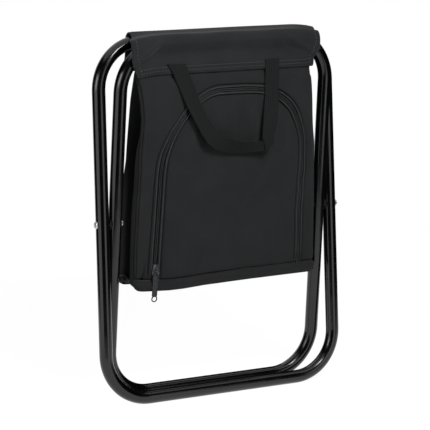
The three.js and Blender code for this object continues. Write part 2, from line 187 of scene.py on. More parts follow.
floor_paint = bpy.data.materials.new("floor_paint")
floor_paint.use_nodes = True
tree = floor_paint.node_tree
tree.nodes.clear()
bounce = plain_shader(tree, "ShaderNodeBsdfDiffuse", Color=FLOOR_BOUNCE)
glow = plain_shader(tree, "ShaderNodeEmission", Strength=FLOOR_GLOW)
shade = plain_shader(tree, "ShaderNodeBsdfDiffuse", Color=FLOOR_SHADE)
shown = tree.nodes.new("ShaderNodeAddShader")
tree.links.new(glow.outputs[0], shown.inputs[0])
tree.links.new(shade.outputs[0], shown.inputs[1])
seen_or_bounced(tree, bounce, shown, "ShaderNodeOutputMaterial")
turn = full_turn(96)
rim = np.stack([FLOOR_RADIUS * np.cos(turn), FLOOR_RADIUS * np.sin(turn), 0 * turn - FLOOR_DROP], -1)
stage_plate("floor", rim, floor_paint)

flag_cloth = finish("flag_cloth", FLAG_BLACK, 1.0)[0]
edge = np.linspace(np.pi / 2 + FLAG_GAP, 5 * np.pi / 2 - FLAG_GAP, FLAG_COUNT + 1)
feet = np.stack([FLAG_RADIUS * np.cos(edge), FLAG_RADIUS * np.sin(edge)], -1)
for n, (a, b) in enumerate(zip(feet[:-1], feet[1:])):
    corners = [(*a, FLAG_LOW), (*b, FLAG_LOW), (*b, FLAG_HIGH), (*a, FLAG_HIGH)]
    flag = stage_plate(f"flag_{n}", corners, flag_cloth)
    flag.visible_camera = flag.visible_diffuse = flag.visible_shadow = flag.visible_transmission = False
for name, (place, size, power, lights_cloth) in SOFTBOXES.items():
    lamp = bpy.data.lights.new(name, "AREA")
    lamp.shape = "RECTANGLE"
    lamp.size, lamp.size_y = size
    lamp.energy = power
    softbox = bpy.data.objects.new(name, lamp)
    softbox.location = place
    softbox.rotation_euler = (AIM - Vector(place)).to_track_quat("-Z", "Y").to_euler()
    softbox.visible_camera = False
    softbox.visible_diffuse = lights_cloth
    scene.collection.objects.link(softbox)

# Frame loops: two lengths of 16 mm steel tube, each bent into a closed rounded rectangle and coated
# in gloss black. The loops lean apart by a few degrees and cross at the pivots. From here on sizes
# are in millimetres.
MM = 1000.0
joint_at = {j["name"]: MM * np.array(j["pos_m"]) for j in frame["joints"] if "pos_m" in j}
PIVOT = joint_at["fold"]
FRONT_BAR = joint_at["front_bar_turn"]
REAR_BAR = joint_at["rear_bar_turn"]
BAR_REACH = float(np.linalg.norm(FRONT_BAR - PIVOT))
TUBE_RADIUS = 8.0
COATED_RADIUS = 8.3
LEG_SPLAY = 0.007
BEND_RADIUS = 57.5
BEND_STEPS = 25
BEND_OVALITY = 0.035
BEND_SETS_IN = 1.6
WELD_DISTANCE = 1e-6
OUTER_HALF = 166.0
INNER_HALF = 148.6
SIDEWAYS = np.array([1.0, 0.0, 0.0])
PAINT_BLACK = (0.003, 0.0031, 0.0033)
PAINT_DEEP = (0.0028, 0.0029, 0.0031)
PAINT_SCUFFED = (0.009, 0.0092, 0.0095)


def make_piece(name, *patches, material, weld=False):
    """One object from grids of points in millimetres. A patch is (points, rows closed, columns closed):
    points has a row and a column index, and each cell between neighbours becomes a face that looks
    along column direction cross row direction. UV runs 0 to 1 along columns, then along rows."""
    places, faces, corner_uv, start = [], [], [], 0
    for points, wrap_rows, wrap_columns in patches:
        rows, columns = points.shape[:2]
        index = start + np.arange(rows * columns).reshape(rows, columns)
        row_cells = rows if wrap_rows else rows - 1
        column_cells = columns if wrap_columns else columns - 1
        r, c = np.meshgrid(np.arange(row_cells), np.arange(column_cells), indexing="ij")
        steps = ((0, 0), (0, 1), (1, 1), (1, 0))
        corners = [index[(r + i) % rows, (c + j) % columns] for i, j in steps]
        faces.append(np.stack(corners, -1).reshape(-1, 4))
        spots = [np.stack([(c + j) / column_cells, (r + i) / row_cells], -1) for i, j in steps]
        corner_uv.append(np.stack(spots, -2).reshape(-1, 2))
        places.append(points.reshape(-1, 3))
        start += rows * columns
    made = new_object(name, np.concatenate(places) / MM, np.concatenate(faces).tolist(), material)
    mesh = made.data
    layer = mesh.uv_layers.new(name="UVMap")
    layer.data.foreach_set("uv", np.concatenate(corner_uv).astype(np.float32).ravel())
    if weld:
        work = bmesh.new()
        work.from_mesh(mesh)
        bmesh.ops.remove_doubles(work, verts=work.verts, dist=WELD_DISTANCE)
        work.to_mesh(mesh)
        work.free()
    mesh.shade_smooth()
    return made


def noise(tree, scale, detail, stretch=(1, 1, 1)):
    """Soft noise on the piece's own coordinates, `scale` cells to the metre."""
    where = tree.nodes.new("ShaderNodeTexCoord")
    placed = tree.nodes.new("ShaderNodeMapping")
    placed.inputs["Scale"].default_value = stretch
    texture = tree.nodes.new("ShaderNodeTexNoise")
    texture.inputs["Scale"].default_value = scale
    texture.inputs["Detail"].default_value = detail
    tree.links.new(where.outputs["Object"], placed.inputs["Vector"])
    tree.links.new(placed.outputs["Vector"], texture.inputs["Vector"])
    return texture.outputs["Fac"]


def ramp(tree, value, low, high, start=0.3, end=0.7):
    """Maps `value` between start and end onto low to high: two numbers, or two colours."""
    if isinstance(low, tuple):
        made = tree.nodes.new("ShaderNodeValToRGB")
        for stop, place, colour in zip(made.color_ramp.elements, (start, end), (low, high)):
            stop.position = place
            stop.color = (*colour, 1)
        tree.links.new(value, made.inputs[0])
        return made.outputs[0]
    made = tree.nodes.new("ShaderNodeMapRange")
    for socket, number in zip(("From Min", "From Max", "To Min", "To Max"), (start, end, low, high)):
        made.inputs[socket].default_value = number
    tree.links.new(value, made.inputs["Value"])
    return made.outputs["Result"]


def vary(tree, shader, socket, value, low, high, start=0.3, end=0.7):
    """Drives a socket of the shader by a value, mapped from start and end onto low and high."""
    tree.links.new(ramp(tree, value, low, high, start, end), shader.inputs[socket])


def bump(tree, shader, height, strength, distance):
    """Relief on the shader's normal from a height between 0 and 1, `distance` metres deep."""
    made = tree.nodes.new("ShaderNodeBump")
    made.inputs["Strength"].default_value = strength
    made.inputs["Distance"].default_value = distance
    tree.links.new(height, made.inputs["Height"])
    tree.links.new(made.outputs["Normal"], shader.inputs["Normal"])


def loop_stations(half_width):
    """Centre line of a loop from the middle of the top bar, clockwise: four straights joined by quarter
    circles. Gives across, up, the outward angle, and the share of bend, 0 on straights to 1 in a bend."""
    quarter = np.linspace(0, np.pi / 2, BEND_STEPS)
    across, up, angle, bent = [], [], [], []
    for turns, (sx, sz) in enumerate(((1, 1), (1, -1), (-1, -1), (-1, 1))):
        outward = np.pi / 2 - turns * np.pi / 2 - quarter
        across.append(sx * (half_width - BEND_RADIUS) + BEND_RADIUS * np.cos(outward))
        up.append(sz * (BAR_REACH - BEND_RADIUS) + BEND_RADIUS * np.sin(outward))
        angle.append(outward)
        bent.append(np.clip(np.sin(2 * quarter) * BEND_SETS_IN, 0, 1))
    return (np.concatenate(part) for part in (across, up, angle, bent))


def loop_tube(half_width, bar):
    """A circle carried along the loop's centre line. In the bends it is pressed a little flat, as bent tube
    is, and the legs spread a little toward the feet."""
    across, up, angle, bent = loop_stations(half_width)
    across = across * (1 - LEG_SPLAY * up / BAR_REACH)
    rise = (bar - PIVOT) / BAR_REACH
    depth = np.cross(SIDEWAYS, rise)
    round_tube = full_turn(40)
    outward = np.cos(angle)[:, None] * SIDEWAYS + np.sin(angle)[:, None] * rise
    centre = PIVOT + across[:, None] * SIDEWAYS + up[:, None] * rise
    flat = COATED_RADIUS * (1 - BEND_OVALITY * bent)[:, None, None]
    wide = COATED_RADIUS * (1 + BEND_OVALITY * bent)[:, None, None]
    ring = flat * np.cos(round_tube)[None, :, None] * outward[:, None, :]
    return centre[:, None, :] + ring + wide * np.sin(round_tube)[None, :, None] * depth


black_paint, tree, shader = finish("gloss_black_paint", PAINT_BLACK, 0.2)
vary(tree, shader, "Roughness", noise(tree, 60, 4), 0.13, 0.22)
scuffs = noise(tree, 420, 3, stretch=(0.2, 1, 1))
vary(tree, shader, "Base Color", scuffs, PAINT_DEEP, PAINT_SCUFFED, 0.62, 0.8)
bump(tree, shader, noise(tree, 350, 2), 0.08, 0.0002)

for loop, half_width, bar in (("outer_frame", OUTER_HALF, REAR_BAR), ("inner_frame", INNER_HALF, FRONT_BAR)):
    tube = make_piece(f"{loop}_loop", (loop_tube(half_width, bar), True, True), material=black_paint)
    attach(tube, loop)
    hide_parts(f"{loop}_tube")

# Joint plugs: a short round of plain steel inside each top bar, pressed in where the two ends of the
# tube meet. The sleeve hides them.
STEEL = (0.42, 0.43, 0.44)
plain_steel, tree, shader = finish("plain_steel", STEEL, 0.45, Metallic=1.0)
vary(tree, shader, "Roughness", noise(tree, 300, 3, stretch=(0.05, 1, 1)), 0.35, 0.55)
for loop in ("outer_frame", "inner_frame"):
    plug = frame["nodes"][f"{loop}_spigot"]
    plug.data.materials.clear()
    plug.data.materials.append(plain_steel)

# Pivots: a hollow zinc-plated rivet through both tubes on each side, domed outside and flared inside,
# with a black nylon washer between the tubes.
RIVET_OUTER = OUTER_HALF + TUBE_RADIUS
RIVET_INNER = INNER_HALF - TUBE_RADIUS
HEAD_HEIGHT = 2.4
WASHER_LOW = INNER_HALF + TUBE_RADIUS + 0.3
WASHER_THICK = 0.8
WASHER_BORE = 3.3
WASHER_RADIUS = 7.0
ZINC = (0.66, 0.67, 0.68)
ZINC_DULL = (0.45, 0.46, 0.47)
ZINC_BRIGHT = (0.72, 0.73, 0.74)
NYLON = (0.012, 0.012, 0.013)


def turned(profile, side):
    """A profile of (radius, distance along the pivot axis) spun about that axis, on either side."""
    spin = full_turn(48)
    radius, along = np.array(profile, float).T
    if side < 0:
        radius, along = radius[::-1], -along[::-1]
    ring = np.stack([0 * spin, np.cos(spin), np.sin(spin)], -1)
    return PIVOT + along[:, None, None] * SIDEWAYS + radius[:, None, None] * ring[None]


zinc, tree, shader = finish("bright_zinc", ZINC, 0.3, Metallic=1.0)
vary(tree, shader, "Roughness", noise(tree, 700, 3), 0.2, 0.42)
vary(tree, shader, "Base Color", noise(tree, 260, 4), ZINC_DULL, ZINC_BRIGHT, 0.35, 0.6)
nylon, tree, shader = finish("black_nylon", NYLON, 0.5)
vary(tree, shader, "Roughness", noise(tree, 500, 2), 0.42, 0.6)
flared_end = [
    (0.0, 1.2), (1.7, 1.0), (1.9, -1.2), (2.2, -2.1), (2.8, -2.3),
    (3.5, -1.9), (3.9, -1.0), (3.9, -0.3), (3.4, 0.0), (3.0, 0.3),
]
domed_head = [
    (3.0, -0.3), (3.9, 0.0), (4.5, 0.3), (4.5, 0.9), (4.0, 1.8), (3.2, HEAD_HEIGHT),
    (2.4, HEAD_HEIGHT), (1.9, 2.0), (1.7, 1.2), (1.6, -1.0), (0.0, -1.2),
]
rivet_profile = [(radius, RIVET_INNER + along) for radius, along in flared_end]
rivet_profile += [(radius, RIVET_OUTER + along) for radius, along in domed_head]
washer_section = [
    (WASHER_BORE, 0.0), (WASHER_RADIUS - 0.3, 0.0), (WASHER_RADIUS, 0.2), (WASHER_RADIUS, WASHER_THICK - 0.2),
    (WASHER_RADIUS - 0.3, WASHER_THICK), (WASHER_BORE, WASHER_THICK), (WASHER_BORE, 0.0),
]
washer_profile = [(radius, WASHER_LOW + along) for radius, along in washer_section]
for side, word in ((1, "right"), (-1, "left")):
    rivet_skin, washer_skin = (turned(profile, side) for profile in (rivet_profile, washer_profile))
    rivet = make_piece(f"{word}_rivet", (rivet_skin, False, True), material=zinc, weld=True)
    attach(rivet, "outer_frame")
    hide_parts(f"{word}_pivot_rivet")
    washer = make_piece(f"{word}_washer", (washer_skin, False, True), material=nylon, weld=True)
    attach(washer, "outer_frame")
    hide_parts(f"{word}_pivot_washer")

# Seat: one piece of charcoal woven polyester, sewn into a sleeve round each top bar. Between the bars
# it hangs slack while the stool is folded, and at the bends the tube pushes it into a bump.
CREASE = (FRONT_BAR + REAR_BAR) / 2
BAR_GAP = float(REAR_BAR[1] - CREASE[1])
ENDS = (("front", FRONT_BAR, -1), ("rear", REAR_BAR, 1))
CLOTH = 1.6
WEAVE_PITCH = 0.0011
SLEEVE_RADIUS = 10.9
SLEEVE_START = np.radians(78)
SEAT_DIP = 1.2
REAR_LOFT = 1.5
HEM_TOP = -25.4
HEM_BOTTOM = -36.0
HEM_DROOP = 2.6
HEM_OUT = 12.3
HEM_TUCK = 3.4
HOLLOW = 5.0
SEAT_STEPS = 150
SEAT_SEEDS = {"front": 11, "rear": 23}
# Rows of the grid on the web, the arc round the tube, the fall below it, the hem and the tuck under it.
SEAT_ROWS = (22, 26, 18, 14, 5)
# Where the left and the right end lie at the borders of those five stretches.
SEAT_ENDS = {
    "front": ((-125, -137, -139.5, -136.5, -133, -131.5), (138, 134, 131, 122, 119.5, 119)),
    "rear": ((-125, -121, -120.5, -121, -122, -121), (142, 146, 145, 140, 136, 134)),
}
# The loop's half width, how far the sleeve sinks with the bend, and how much of that its crown follows.
BENDS = {"front": (INNER_HALF, 1.0, 0.25), "rear": (OUTER_HALF, 0.3, 1.0)}
# The two slanting drag folds: side, a point of the fold in x and height, its slope, and where it sets in.
DRAG_FOLDS = ((-1, -97.4, -0.6, 0.68, (92, 108)), (1, 80.9, -2.6, -0.48, (74, 92)))
FOLD_RIDGE = 2.6
FOLD_VALLEY = 1.6
FOLD_SIDE = 4
STITCH_INSET = 4
HEM_STITCH_ROWS = (3, 9)
BEAD_SIDES = 6
BEAD_STATIONS = np.array([0.0, 0.22, 0.78, 1.0])
BEAD_GIRTH = np.array([0.25, 1.0, 1.0, 0.25])
CHARCOAL_DARK = (0.0122, 0.0129, 0.0140)
CHARCOAL_PALE = (0.0254, 0.0266, 0.0285)
THREAD = (0.08, 0.09, 0.097)
THREAD_DARK = (0.05, 0.057, 0.062)
THREAD_PALE = (0.11, 0.121, 0.13)


def ease(value, low, high):
    """Smooth step: 0 below low, 1 above high, and a gentle S between them."""
    share = np.clip((value - low) / (high - low), 0, 1)
    return share * share * (3 - 2 * share)


def bell(value, width):
    """A smooth hump: 1 at zero, falling off to both sides as e to the minus square of value over width."""
    return np.exp(-(value / width) ** 2)


def ripple(x, y, seed, size):
    """Slow unevenness of hand-laid cloth: a sum of six crossed waves, between about -1 and 1."""
    draw = np.random.default_rng(seed)
    headings, phases, scales = draw.uniform(0, np.pi, 6), draw.uniform(0, 6.28, 6), draw.uniform(0.6, 1.8, 6)
    total = 0
    for heading, phase, scale in zip(headings, phases, scales):
        wave = (x * np.cos(heading) + y * np.sin(heading)) * 2 * np.pi / (size * scale)
        total = total + np.sin(wave + phase)
    return total / 3.5


def bar_drop(x, half_width):
    """How far the tube has fallen below the bar's level at x: the fall of a quarter circle past its start."""
    past = np.clip(np.abs(x) - (half_width - BEND_RADIUS), 0, 0.86 * BEND_RADIUS)
    return BEND_RADIUS - np.sqrt(BEND_RADIUS ** 2 - past ** 2)


def crown(end, x):
    """How far a sleeve sinks at x with its tube's bend, and how tall it stands over the sunk level."""
    half_width, sink, follow = BENDS[end]
    drop = sink * bar_drop(x, half_width)
    return drop, SLEEVE_RADIUS + (1 - follow) * drop + (end == "rear") * REAR_LOFT


def seat_section(end, row, x):
    """The seat's plain section at x, from the crease at row 0 to the edge at row 5: a slack web, an arc round
    the tube, a hollow fall, a flat hem and a tuck under it. At the ends it sinks with the tube's bend.
    Returns distance out from the bar and height over it."""
    drop, tall = crown(end, x)
    droop = HEM_DROOP * ease(-x, 104, 132)
    hem_top = np.minimum(HEM_TOP - droop, -drop - 3)
    hem_bottom = HEM_BOTTOM - droop
    angle = SLEEVE_START + (np.pi - SLEEVE_START) * np.clip(row - 1, 0, 1)
    out = -SLEEVE_RADIUS * np.cos(angle)
    rise = tall * np.sin(angle) - drop
    shoulder_out = -SLEEVE_RADIUS * np.cos(SLEEVE_START)
    shoulder = tall * np.sin(SLEEVE_START) - drop
    levels = [crown(name, x[:1]) for name in BENDS]
    low = sum(height - fallen for fallen, height in levels) / 2 - SEAT_DIP - 0.15 * levels[0][0]
    out = np.where(row < 1, 0.1 - BAR_GAP + (shoulder_out + BAR_GAP - 0.1) * row, out)
    rise = np.where(row < 1, low + (shoulder - low) * row ** 0.9, rise)
    down = np.clip(row - 2, 0, 1)
    hollow = HOLLOW * np.sin(np.pi * down) ** 1.5 * (1 - 0.85 * ease(np.abs(x), 95, 118))
    out = np.where(row > 2, SLEEVE_RADIUS + (HEM_OUT - SLEEVE_RADIUS) * down - hollow, out)
    rise = np.where(row > 2, -drop + (hem_top + drop) * down, rise)
    seam = np.clip(row - 3, 0, 1)
    out = np.where(row > 3, HEM_OUT + 0.5 * np.sin(np.pi * seam), out)
    rise = np.where(row > 3, hem_top + (hem_bottom - hem_top) * seam, rise)
    tuck = np.clip(row - 4, 0, 1)
    out = np.where(row > 4, HEM_OUT - HEM_TUCK * tuck, out)
    rise = np.where(row > 4, hem_bottom - 1.0 * np.sin(np.pi * tuck), rise)
    return out, rise


def seat_half(end):
    """Half the seat as a grid: rows run from the crease up over the bar and down to the hem, columns across.
    The plain section is made a little uneven. At the front's ends it is drawn into slanting folds, and it
    stays outside the tube. Returns distance out from the bar, height over the bar, and x."""
    seed = SEAT_SEEDS[end]
    stretches = [n + np.linspace(0, 1, count, endpoint=False) for n, count in enumerate(SEAT_ROWS)]
    row = np.concatenate([*stretches, [5.0]])[:, None]
    across = np.linspace(-1, 1, SEAT_STEPS + 1)[None, :]
    left, right = (np.interp(row, [0, 1, 2, 3, 4, 5], side) for side in SEAT_ENDS[end])
    x = np.where(across < 0, -across * left, across * right)
    out, rise = seat_section(end, row, x)
    folds = 0
    for hand, fold_x, fold_rise, fold_slope, sets_in in DRAG_FOLDS:
        over = rise - fold_rise - fold_slope * (x - fold_x)
        profile = FOLD_RIDGE * bell(over - FOLD_SIDE, 4) - FOLD_VALLEY * bell(over + FOLD_SIDE, 5)
        folds = folds + ease(hand * x, *sets_in) * profile
    uneven = 0.5 * ripple(x, 3 * rise, seed, 80) + 0.4 * ripple(x, 1.6 * rise, seed + 7, 36)
    loose = ease(row, 0.9, 1.6) * (1 - ease(row, 3.6, 4))
    out = out + loose * (uneven + folds * (end == "front"))
    below = rise + bar_drop(x, BENDS[end][0])
    on_tube = np.sqrt(np.clip((TUBE_RADIUS + CLOTH + 0.2) ** 2 - below ** 2, 0, None))
    out = np.where((row > 1.5) & (end == "front"), np.maximum(out, on_tube), out)
    over_top = ease(row, 0, 0.3) * (1 - ease(row, 1.8, 2.4))
    rise = rise + 0.3 * over_top * ripple(x, 40 * row, seed + 1, 70)
    return out, rise, x


def hung(out, rise, x, bar, toward):
    """Points from distance out from a bar and height over it: out is -Y at the front and +Y at the rear."""
    return np.stack(np.broadcast_arrays(x, bar[1] + toward * out, bar[2] + rise), -1)


def coordinates(tree, kind):
    """The piece's own coordinates of a kind, as separate X, Y and Z."""
    where = tree.nodes.new("ShaderNodeTexCoord")
    split = tree.nodes.new("ShaderNodeSeparateXYZ")
    tree.links.new(where.outputs[kind], split.inputs[0])
    return split.outputs


def sine(tree, value, rate):
    """The sine of a value times a rate in radians."""
    return math_node(tree, "SINE", math_node(tree, "MULTIPLY", value, rate))


def woven(tree, pitch):
    """Plain weave: two crossed sets of threads, each a wave, taking turns on top of each other."""
    place = coordinates(tree, "Object")
    fall = math_node(tree, "ADD", place["Y"], place["Z"])
    threads = [sine(tree, value, 2 * np.pi / pitch) for value in (place["X"], fall)]
    return ramp(tree, math_node(tree, "MULTIPLY", *threads), 0.0, 1.0, -1.0, 1.0)


def thicken(piece, thickness, offset=-1):
    """Gives a sheet its thickness, on the inner side or, with offset 0, half to each side."""
    wall = piece.modifiers.new("thickness", "SOLIDIFY")
    wall.thickness = thickness / MM
    wall.offset = offset
    return piece


def cloth_piece(name, points, thickness, weld=False):
    """A sheet of the charcoal cloth from a grid of points."""
    return thicken(make_piece(name, (points, False, False), material=charcoal, weld=weld), thickness)


def unit(vectors):
    """Vectors scaled to length one."""
    return vectors / np.maximum(np.linalg.norm(vectors, axis=-1, keepdims=True), 1e-9)


def slope(points):
    """Outward normals of a grid: column direction cross row direction, made unit length."""
    return unit(np.cross(np.gradient(points, axis=1), np.gradient(points, axis=0)))


def travelled(line):
    """Distance along a line of points, counted from its first."""
    return np.concatenate([[0], np.cumsum(np.linalg.norm(np.diff(line, axis=0), axis=1))])


def spaced(values, run, distance):
    """Values that are known along a run, read off at other distances along it."""
    return np.stack([np.interp(distance, run, values[:, k]) for k in range(values.shape[1])], -1)


def stitch_row(name, line, outward, material, length=2.2, pitch=4.2, width=0.8):
    """A row of stitches on a line of points: short six-sided beads, pointed at both ends and spaced evenly by
    distance along the line, each lying on the cloth and sunk a third of its width into it."""
    run = travelled(line)
    starts = np.arange(0.5 * pitch, run[-1] - length, pitch)
    head, tail = spaced(line, run, starts), spaced(line, run, starts + length)
    up = unit(spaced(outward, run, starts + length / 2))
    side = np.cross(unit(tail - head), up)
    spin = np.arange(BEAD_SIDES) * np.pi / 3
    spoke = np.cos(spin)[None, :, None] * side[:, None, :] + np.sin(spin)[None, :, None] * up[:, None, :]
    reach = BEAD_STATIONS[None, :, None] * (tail - head)[:, None, :]
    centre = head[:, None, :] + reach + 0.17 * width * up[:, None, :]
    girth = width / 2 * BEAD_GIRTH
    places = centre[:, :, None, :] + girth[None, :, None, None] * spoke[:, None, :, :]
    here = np.arange(BEAD_SIDES)
    after = (here + 1) % BEAD_SIDES
    ring = BEAD_SIDES * np.arange(len(BEAD_GIRTH) - 1)[:, None]
    sides = np.stack([ring + here, ring + after, ring + BEAD_SIDES + after, ring + BEAD_SIDES + here], -1)
    caps = np.stack([here[::-1], BEAD_SIDES * (len(BEAD_GIRTH) - 1) + here])
    bead = BEAD_SIDES * len(BEAD_GIRTH) * np.arange(len(starts))[:, None, None]
    faces = (bead + sides.reshape(1, -1, 4)).reshape(-1, 4).tolist()
    faces += (bead + caps[None]).reshape(-1, BEAD_SIDES).tolist()
    made = new_object(name, places.reshape(-1, 3) / MM, faces, material)
    made.data.shade_smooth()
    return made


charcoal, tree, shader = finish(
    "charcoal_cloth", CHARCOAL_DARK, 0.86, Sheen_Weight=0.12, Sheen_Roughness=0.5, Specular_IOR_Level=0.3
)
threads = woven(tree, WEAVE_PITCH)
fleck = noise(tree, 1400, 2)
flecked = math_node(tree, "MULTIPLY_ADD", threads, 0.45, ramp(tree, fleck, 0.0, 0.35))
clouded = math_node(tree, "MULTIPLY_ADD", flecked, 0.7, ramp(tree, noise(tree, 28, 3), 0.0, 0.4))
vary(tree, shader, "Base Color", clouded, CHARCOAL_DARK, CHARCOAL_PALE, 0.05, 0.95)
vary(tree, shader, "Roughness", fleck, 0.78, 0.95)
bump(tree, shader, threads, 0.35, 0.00022)
thread_grey, tree, shader = finish("grey_thread", THREAD, 0.6)
twist = noise(tree, 1600, 2)
vary(tree, shader, "Base Color", twist, THREAD_DARK, THREAD_PALE)
bump(tree, shader, twist, 0.3, 0.0002)

hem_start = sum(SEAT_ROWS[:3])
edge_rows = slice(SEAT_ROWS[0] + 2, sum(SEAT_ROWS[:4]))
inside = slice(STITCH_INSET, -STITCH_INSET)
for end, bar, toward in ENDS:
    points = hung(*seat_half(end), bar, toward)
    if end == "front":
        points = points[:, ::-1]
    seat = cloth_piece(f"seat_{end}", points, CLOTH)
    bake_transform(seat)
    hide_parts(f"{end}_sleeve", f"seat_{end}_half")
    stitched = {f"{end}_hem_stitch_{n}": (hem_start + r, inside) for n, r in enumerate(HEM_STITCH_ROWS)}
    stitched[f"{end}_edge_stitch_a"] = (edge_rows, STITCH_INSET)
    stitched[f"{end}_edge_stitch_b"] = (edge_rows, -1 - STITCH_INSET)
    normal = slope(points)
    for name, cells in stitched.items():
        row = stitch_row(name, points[cells], normal[cells], thread_grey)
        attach(row, f"bag_{end}")
    loop = "inner_frame_loop" if end == "front" else "outer_frame_loop"

# Sleeve facings: a second layer of the same cloth behind each bar. It is sewn on at the hem and closes
# the sleeve from there up to the bar.
FACING_HALF = {"front": 90.0, "rear": 108.0}
FACING_TOP = 1.0
FACING_FALL = 35.0
FACING_BACK = 11.6
FACING_SLANT = 12.3


def grid(rows, columns, start=-1):
    """The two parameters of a surface: 0 to 1 along the rows' index, and start to 1 along the columns'."""
    return np.linspace(0, 1, rows)[:, None], np.linspace(start, 1, columns)[None, :]


for end, bar, toward in ENDS:
    row, column = grid(24, 61)
    x = column * FACING_HALF[end] * toward
    out = -FACING_BACK + FACING_SLANT * ease(row, 0.25, 1.0) + 0.4 * ripple(x, 30 * row, 5, 60)
    points = hung(out, FACING_TOP - FACING_FALL * row, x, bar, toward)
    facing = cloth_piece(f"{end}_facing", points[:, ::-1], CLOTH)
    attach(facing, f"bag_{end}")
    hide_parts(f"{end}_sleeve_facing")

# Front of the bag: a charcoal panel with an arched door, both backed with foam. They hang from the hem, lean
# back toward the foot and stand a little full. Their edges are turned under along the zipper and topstitched.
PANEL_CLOTH = 1.4
PANEL_OUT = 2.9
PANEL_TOP = -31.0
PANEL_BOTTOM = -292.5
# Heights below the bar, and where the panel's left and right edges lie there: drawn in under the hem.
EDGES = {"front": {
    "left": ((-300, -285, -240, -195, -165, -130, -109, -90, -74, -42, -31),
             (-126, -125.4, -124, -123.5, -122, -121, -119.8, -118.4, -120, -125.5, -127)),
    "right": ((-300, -210, -165, -135, -120, -94, -68, -46, -31),
              (133, 133, 132.6, 131.6, 129.2, 125.4, 122.7, 120.5, 120)),
}}
FOOT_X = (-131, -110, -80, -60, -30, 0, 40, 131)
FOOT_SAG = (1.6, 0.2, -1.4, -1.3, 0.4, 1.0, 1.8, 2.6)
FOOT_TURN = 4.0
LEAN = 5.4
LEAN_ASKEW = 0.607
ARCH_HALF = 104.0
ARCH_TOP = -60.0
ARCH_CORNER = 75.0
LEFT_CORNER_EXTRA = 24.0
ARCH_SHIFT = 2.7
ARCH_SKEW = 0.07
ARCH_COUNTS = (70, 40, 40, 40, 70)
LEG_PULL = 2.7
LEFT_SHOULDER_PULL = 4.5
RIGHT_FOOT_PULL = 0.4
RIGHT_LEG_PULL = 3.9
RIGHT_SHOULDER_PULL = 6.0
ARCH_SAG = 5.5
FACE_HALF = 134
FULLNESS = 2.4
LEFT_TURN = 0.30
RIGHT_TURN = 0.16
HEM_ROLL = 2.6
LIP_SETS_IN = 9
TUCK_DEPTH = 4.8
SIDE_TURN = 4.0
DOOR_SWELL = 1.2
DOOR_FOLD = 2.2
DOOR_CREASE = 2.0
DOOR_CORE = 60
TOPSTITCH_OFF = 3.9
TOPSTITCH_OUT = 1.0
TOPSTITCH_FROM_FOOT = 12
# The lip beside the zipper: distances from the arch line, and how proud of the face it stands there.
MARGIN = np.array([2.7, 2.8, 3.2, 3.9, 4.8, 5.4, 5.9, 6.25, 6.6, 7.2, 8.8])
MARGIN_PROUD = np.array([-2.4, 0.2, 1.0, 1.2, 1.0, 0.2, -2.2, -3.2, -2.2, 0.0, 0.35])


def bag_edge(end, word, rise):
    """Where the left or right edge of the front or rear panel lies at a height below the bar."""
    return np.interp(rise, *EDGES[end][word])


def foot_line(x):
    """How far the seam at the foot hangs over or under its mean level: it sags left of the middle."""
    return np.interp(x, FOOT_X, FOOT_SAG)


def arch_line(offset):
    """The arch from its left foot to its right foot, grown by `offset`: two legs, two quarter ellipses and
    a level top, sheared to the right with height, then pulled out of true as the hung cloth pulls it."""
    half, corner, top = ARCH_HALF + offset, ARCH_CORNER + offset, ARCH_TOP + offset
    leg, bend, level, bend2, leg2 = (np.linspace(0, 1, n, endpoint=False) for n in ARCH_COUNTS)
    quarter = np.pi / 2
    start, long = PANEL_BOTTOM, corner + LEFT_CORNER_EXTRA
    x = np.concatenate([0 * leg - half, -half + corner - corner * np.cos(quarter * bend),
                        (-half + corner) * (1 - 2 * level), half - corner + corner * np.sin(quarter * bend2),
                        0 * leg2 + half, [half]])
    rise = np.concatenate([start + (top - long - start) * leg, top - long + long * np.sin(quarter * bend),
                           0 * level + top, top - corner + corner * np.cos(quarter * bend2),
                           top - corner - (top - corner - start) * leg2, [start]])
    left_pull = (LEFT_SHOULDER_PULL * ease(rise, -150, -85) - LEG_PULL) * ease(-x, 20, 90)
    right_pull = RIGHT_FOOT_PULL + RIGHT_LEG_PULL * ease(rise, -285, -205)
    right_pull = (right_pull + RIGHT_SHOULDER_PULL * bell(rise + 100, 36)) * ease(x, 20, 100)
    sunk = ARCH_SAG * bell(x - 62, 34) * ease(rise, -130, -75)
    return x + ARCH_SHIFT + ARCH_SKEW * (rise - PANEL_BOTTOM) + left_pull - right_pull, rise - sunk


def wide_line(offset):
    """The arch line, its margins spread on the left leg, where the panel turns out and shows more of them."""
    x, rise = arch_line(offset)
    spread = 0.3 * offset * ease(-x, 40, 85) * ease(-rise, 95, 150)
    return x - spread, rise


def leg_line(rise):
    """Where the left leg of the zipper runs at a height."""
    return -ARCH_HALF + ARCH_SHIFT - LEG_PULL + ARCH_SKEW * (np.clip(rise, PANEL_BOTTOM, -140) - PANEL_BOTTOM)


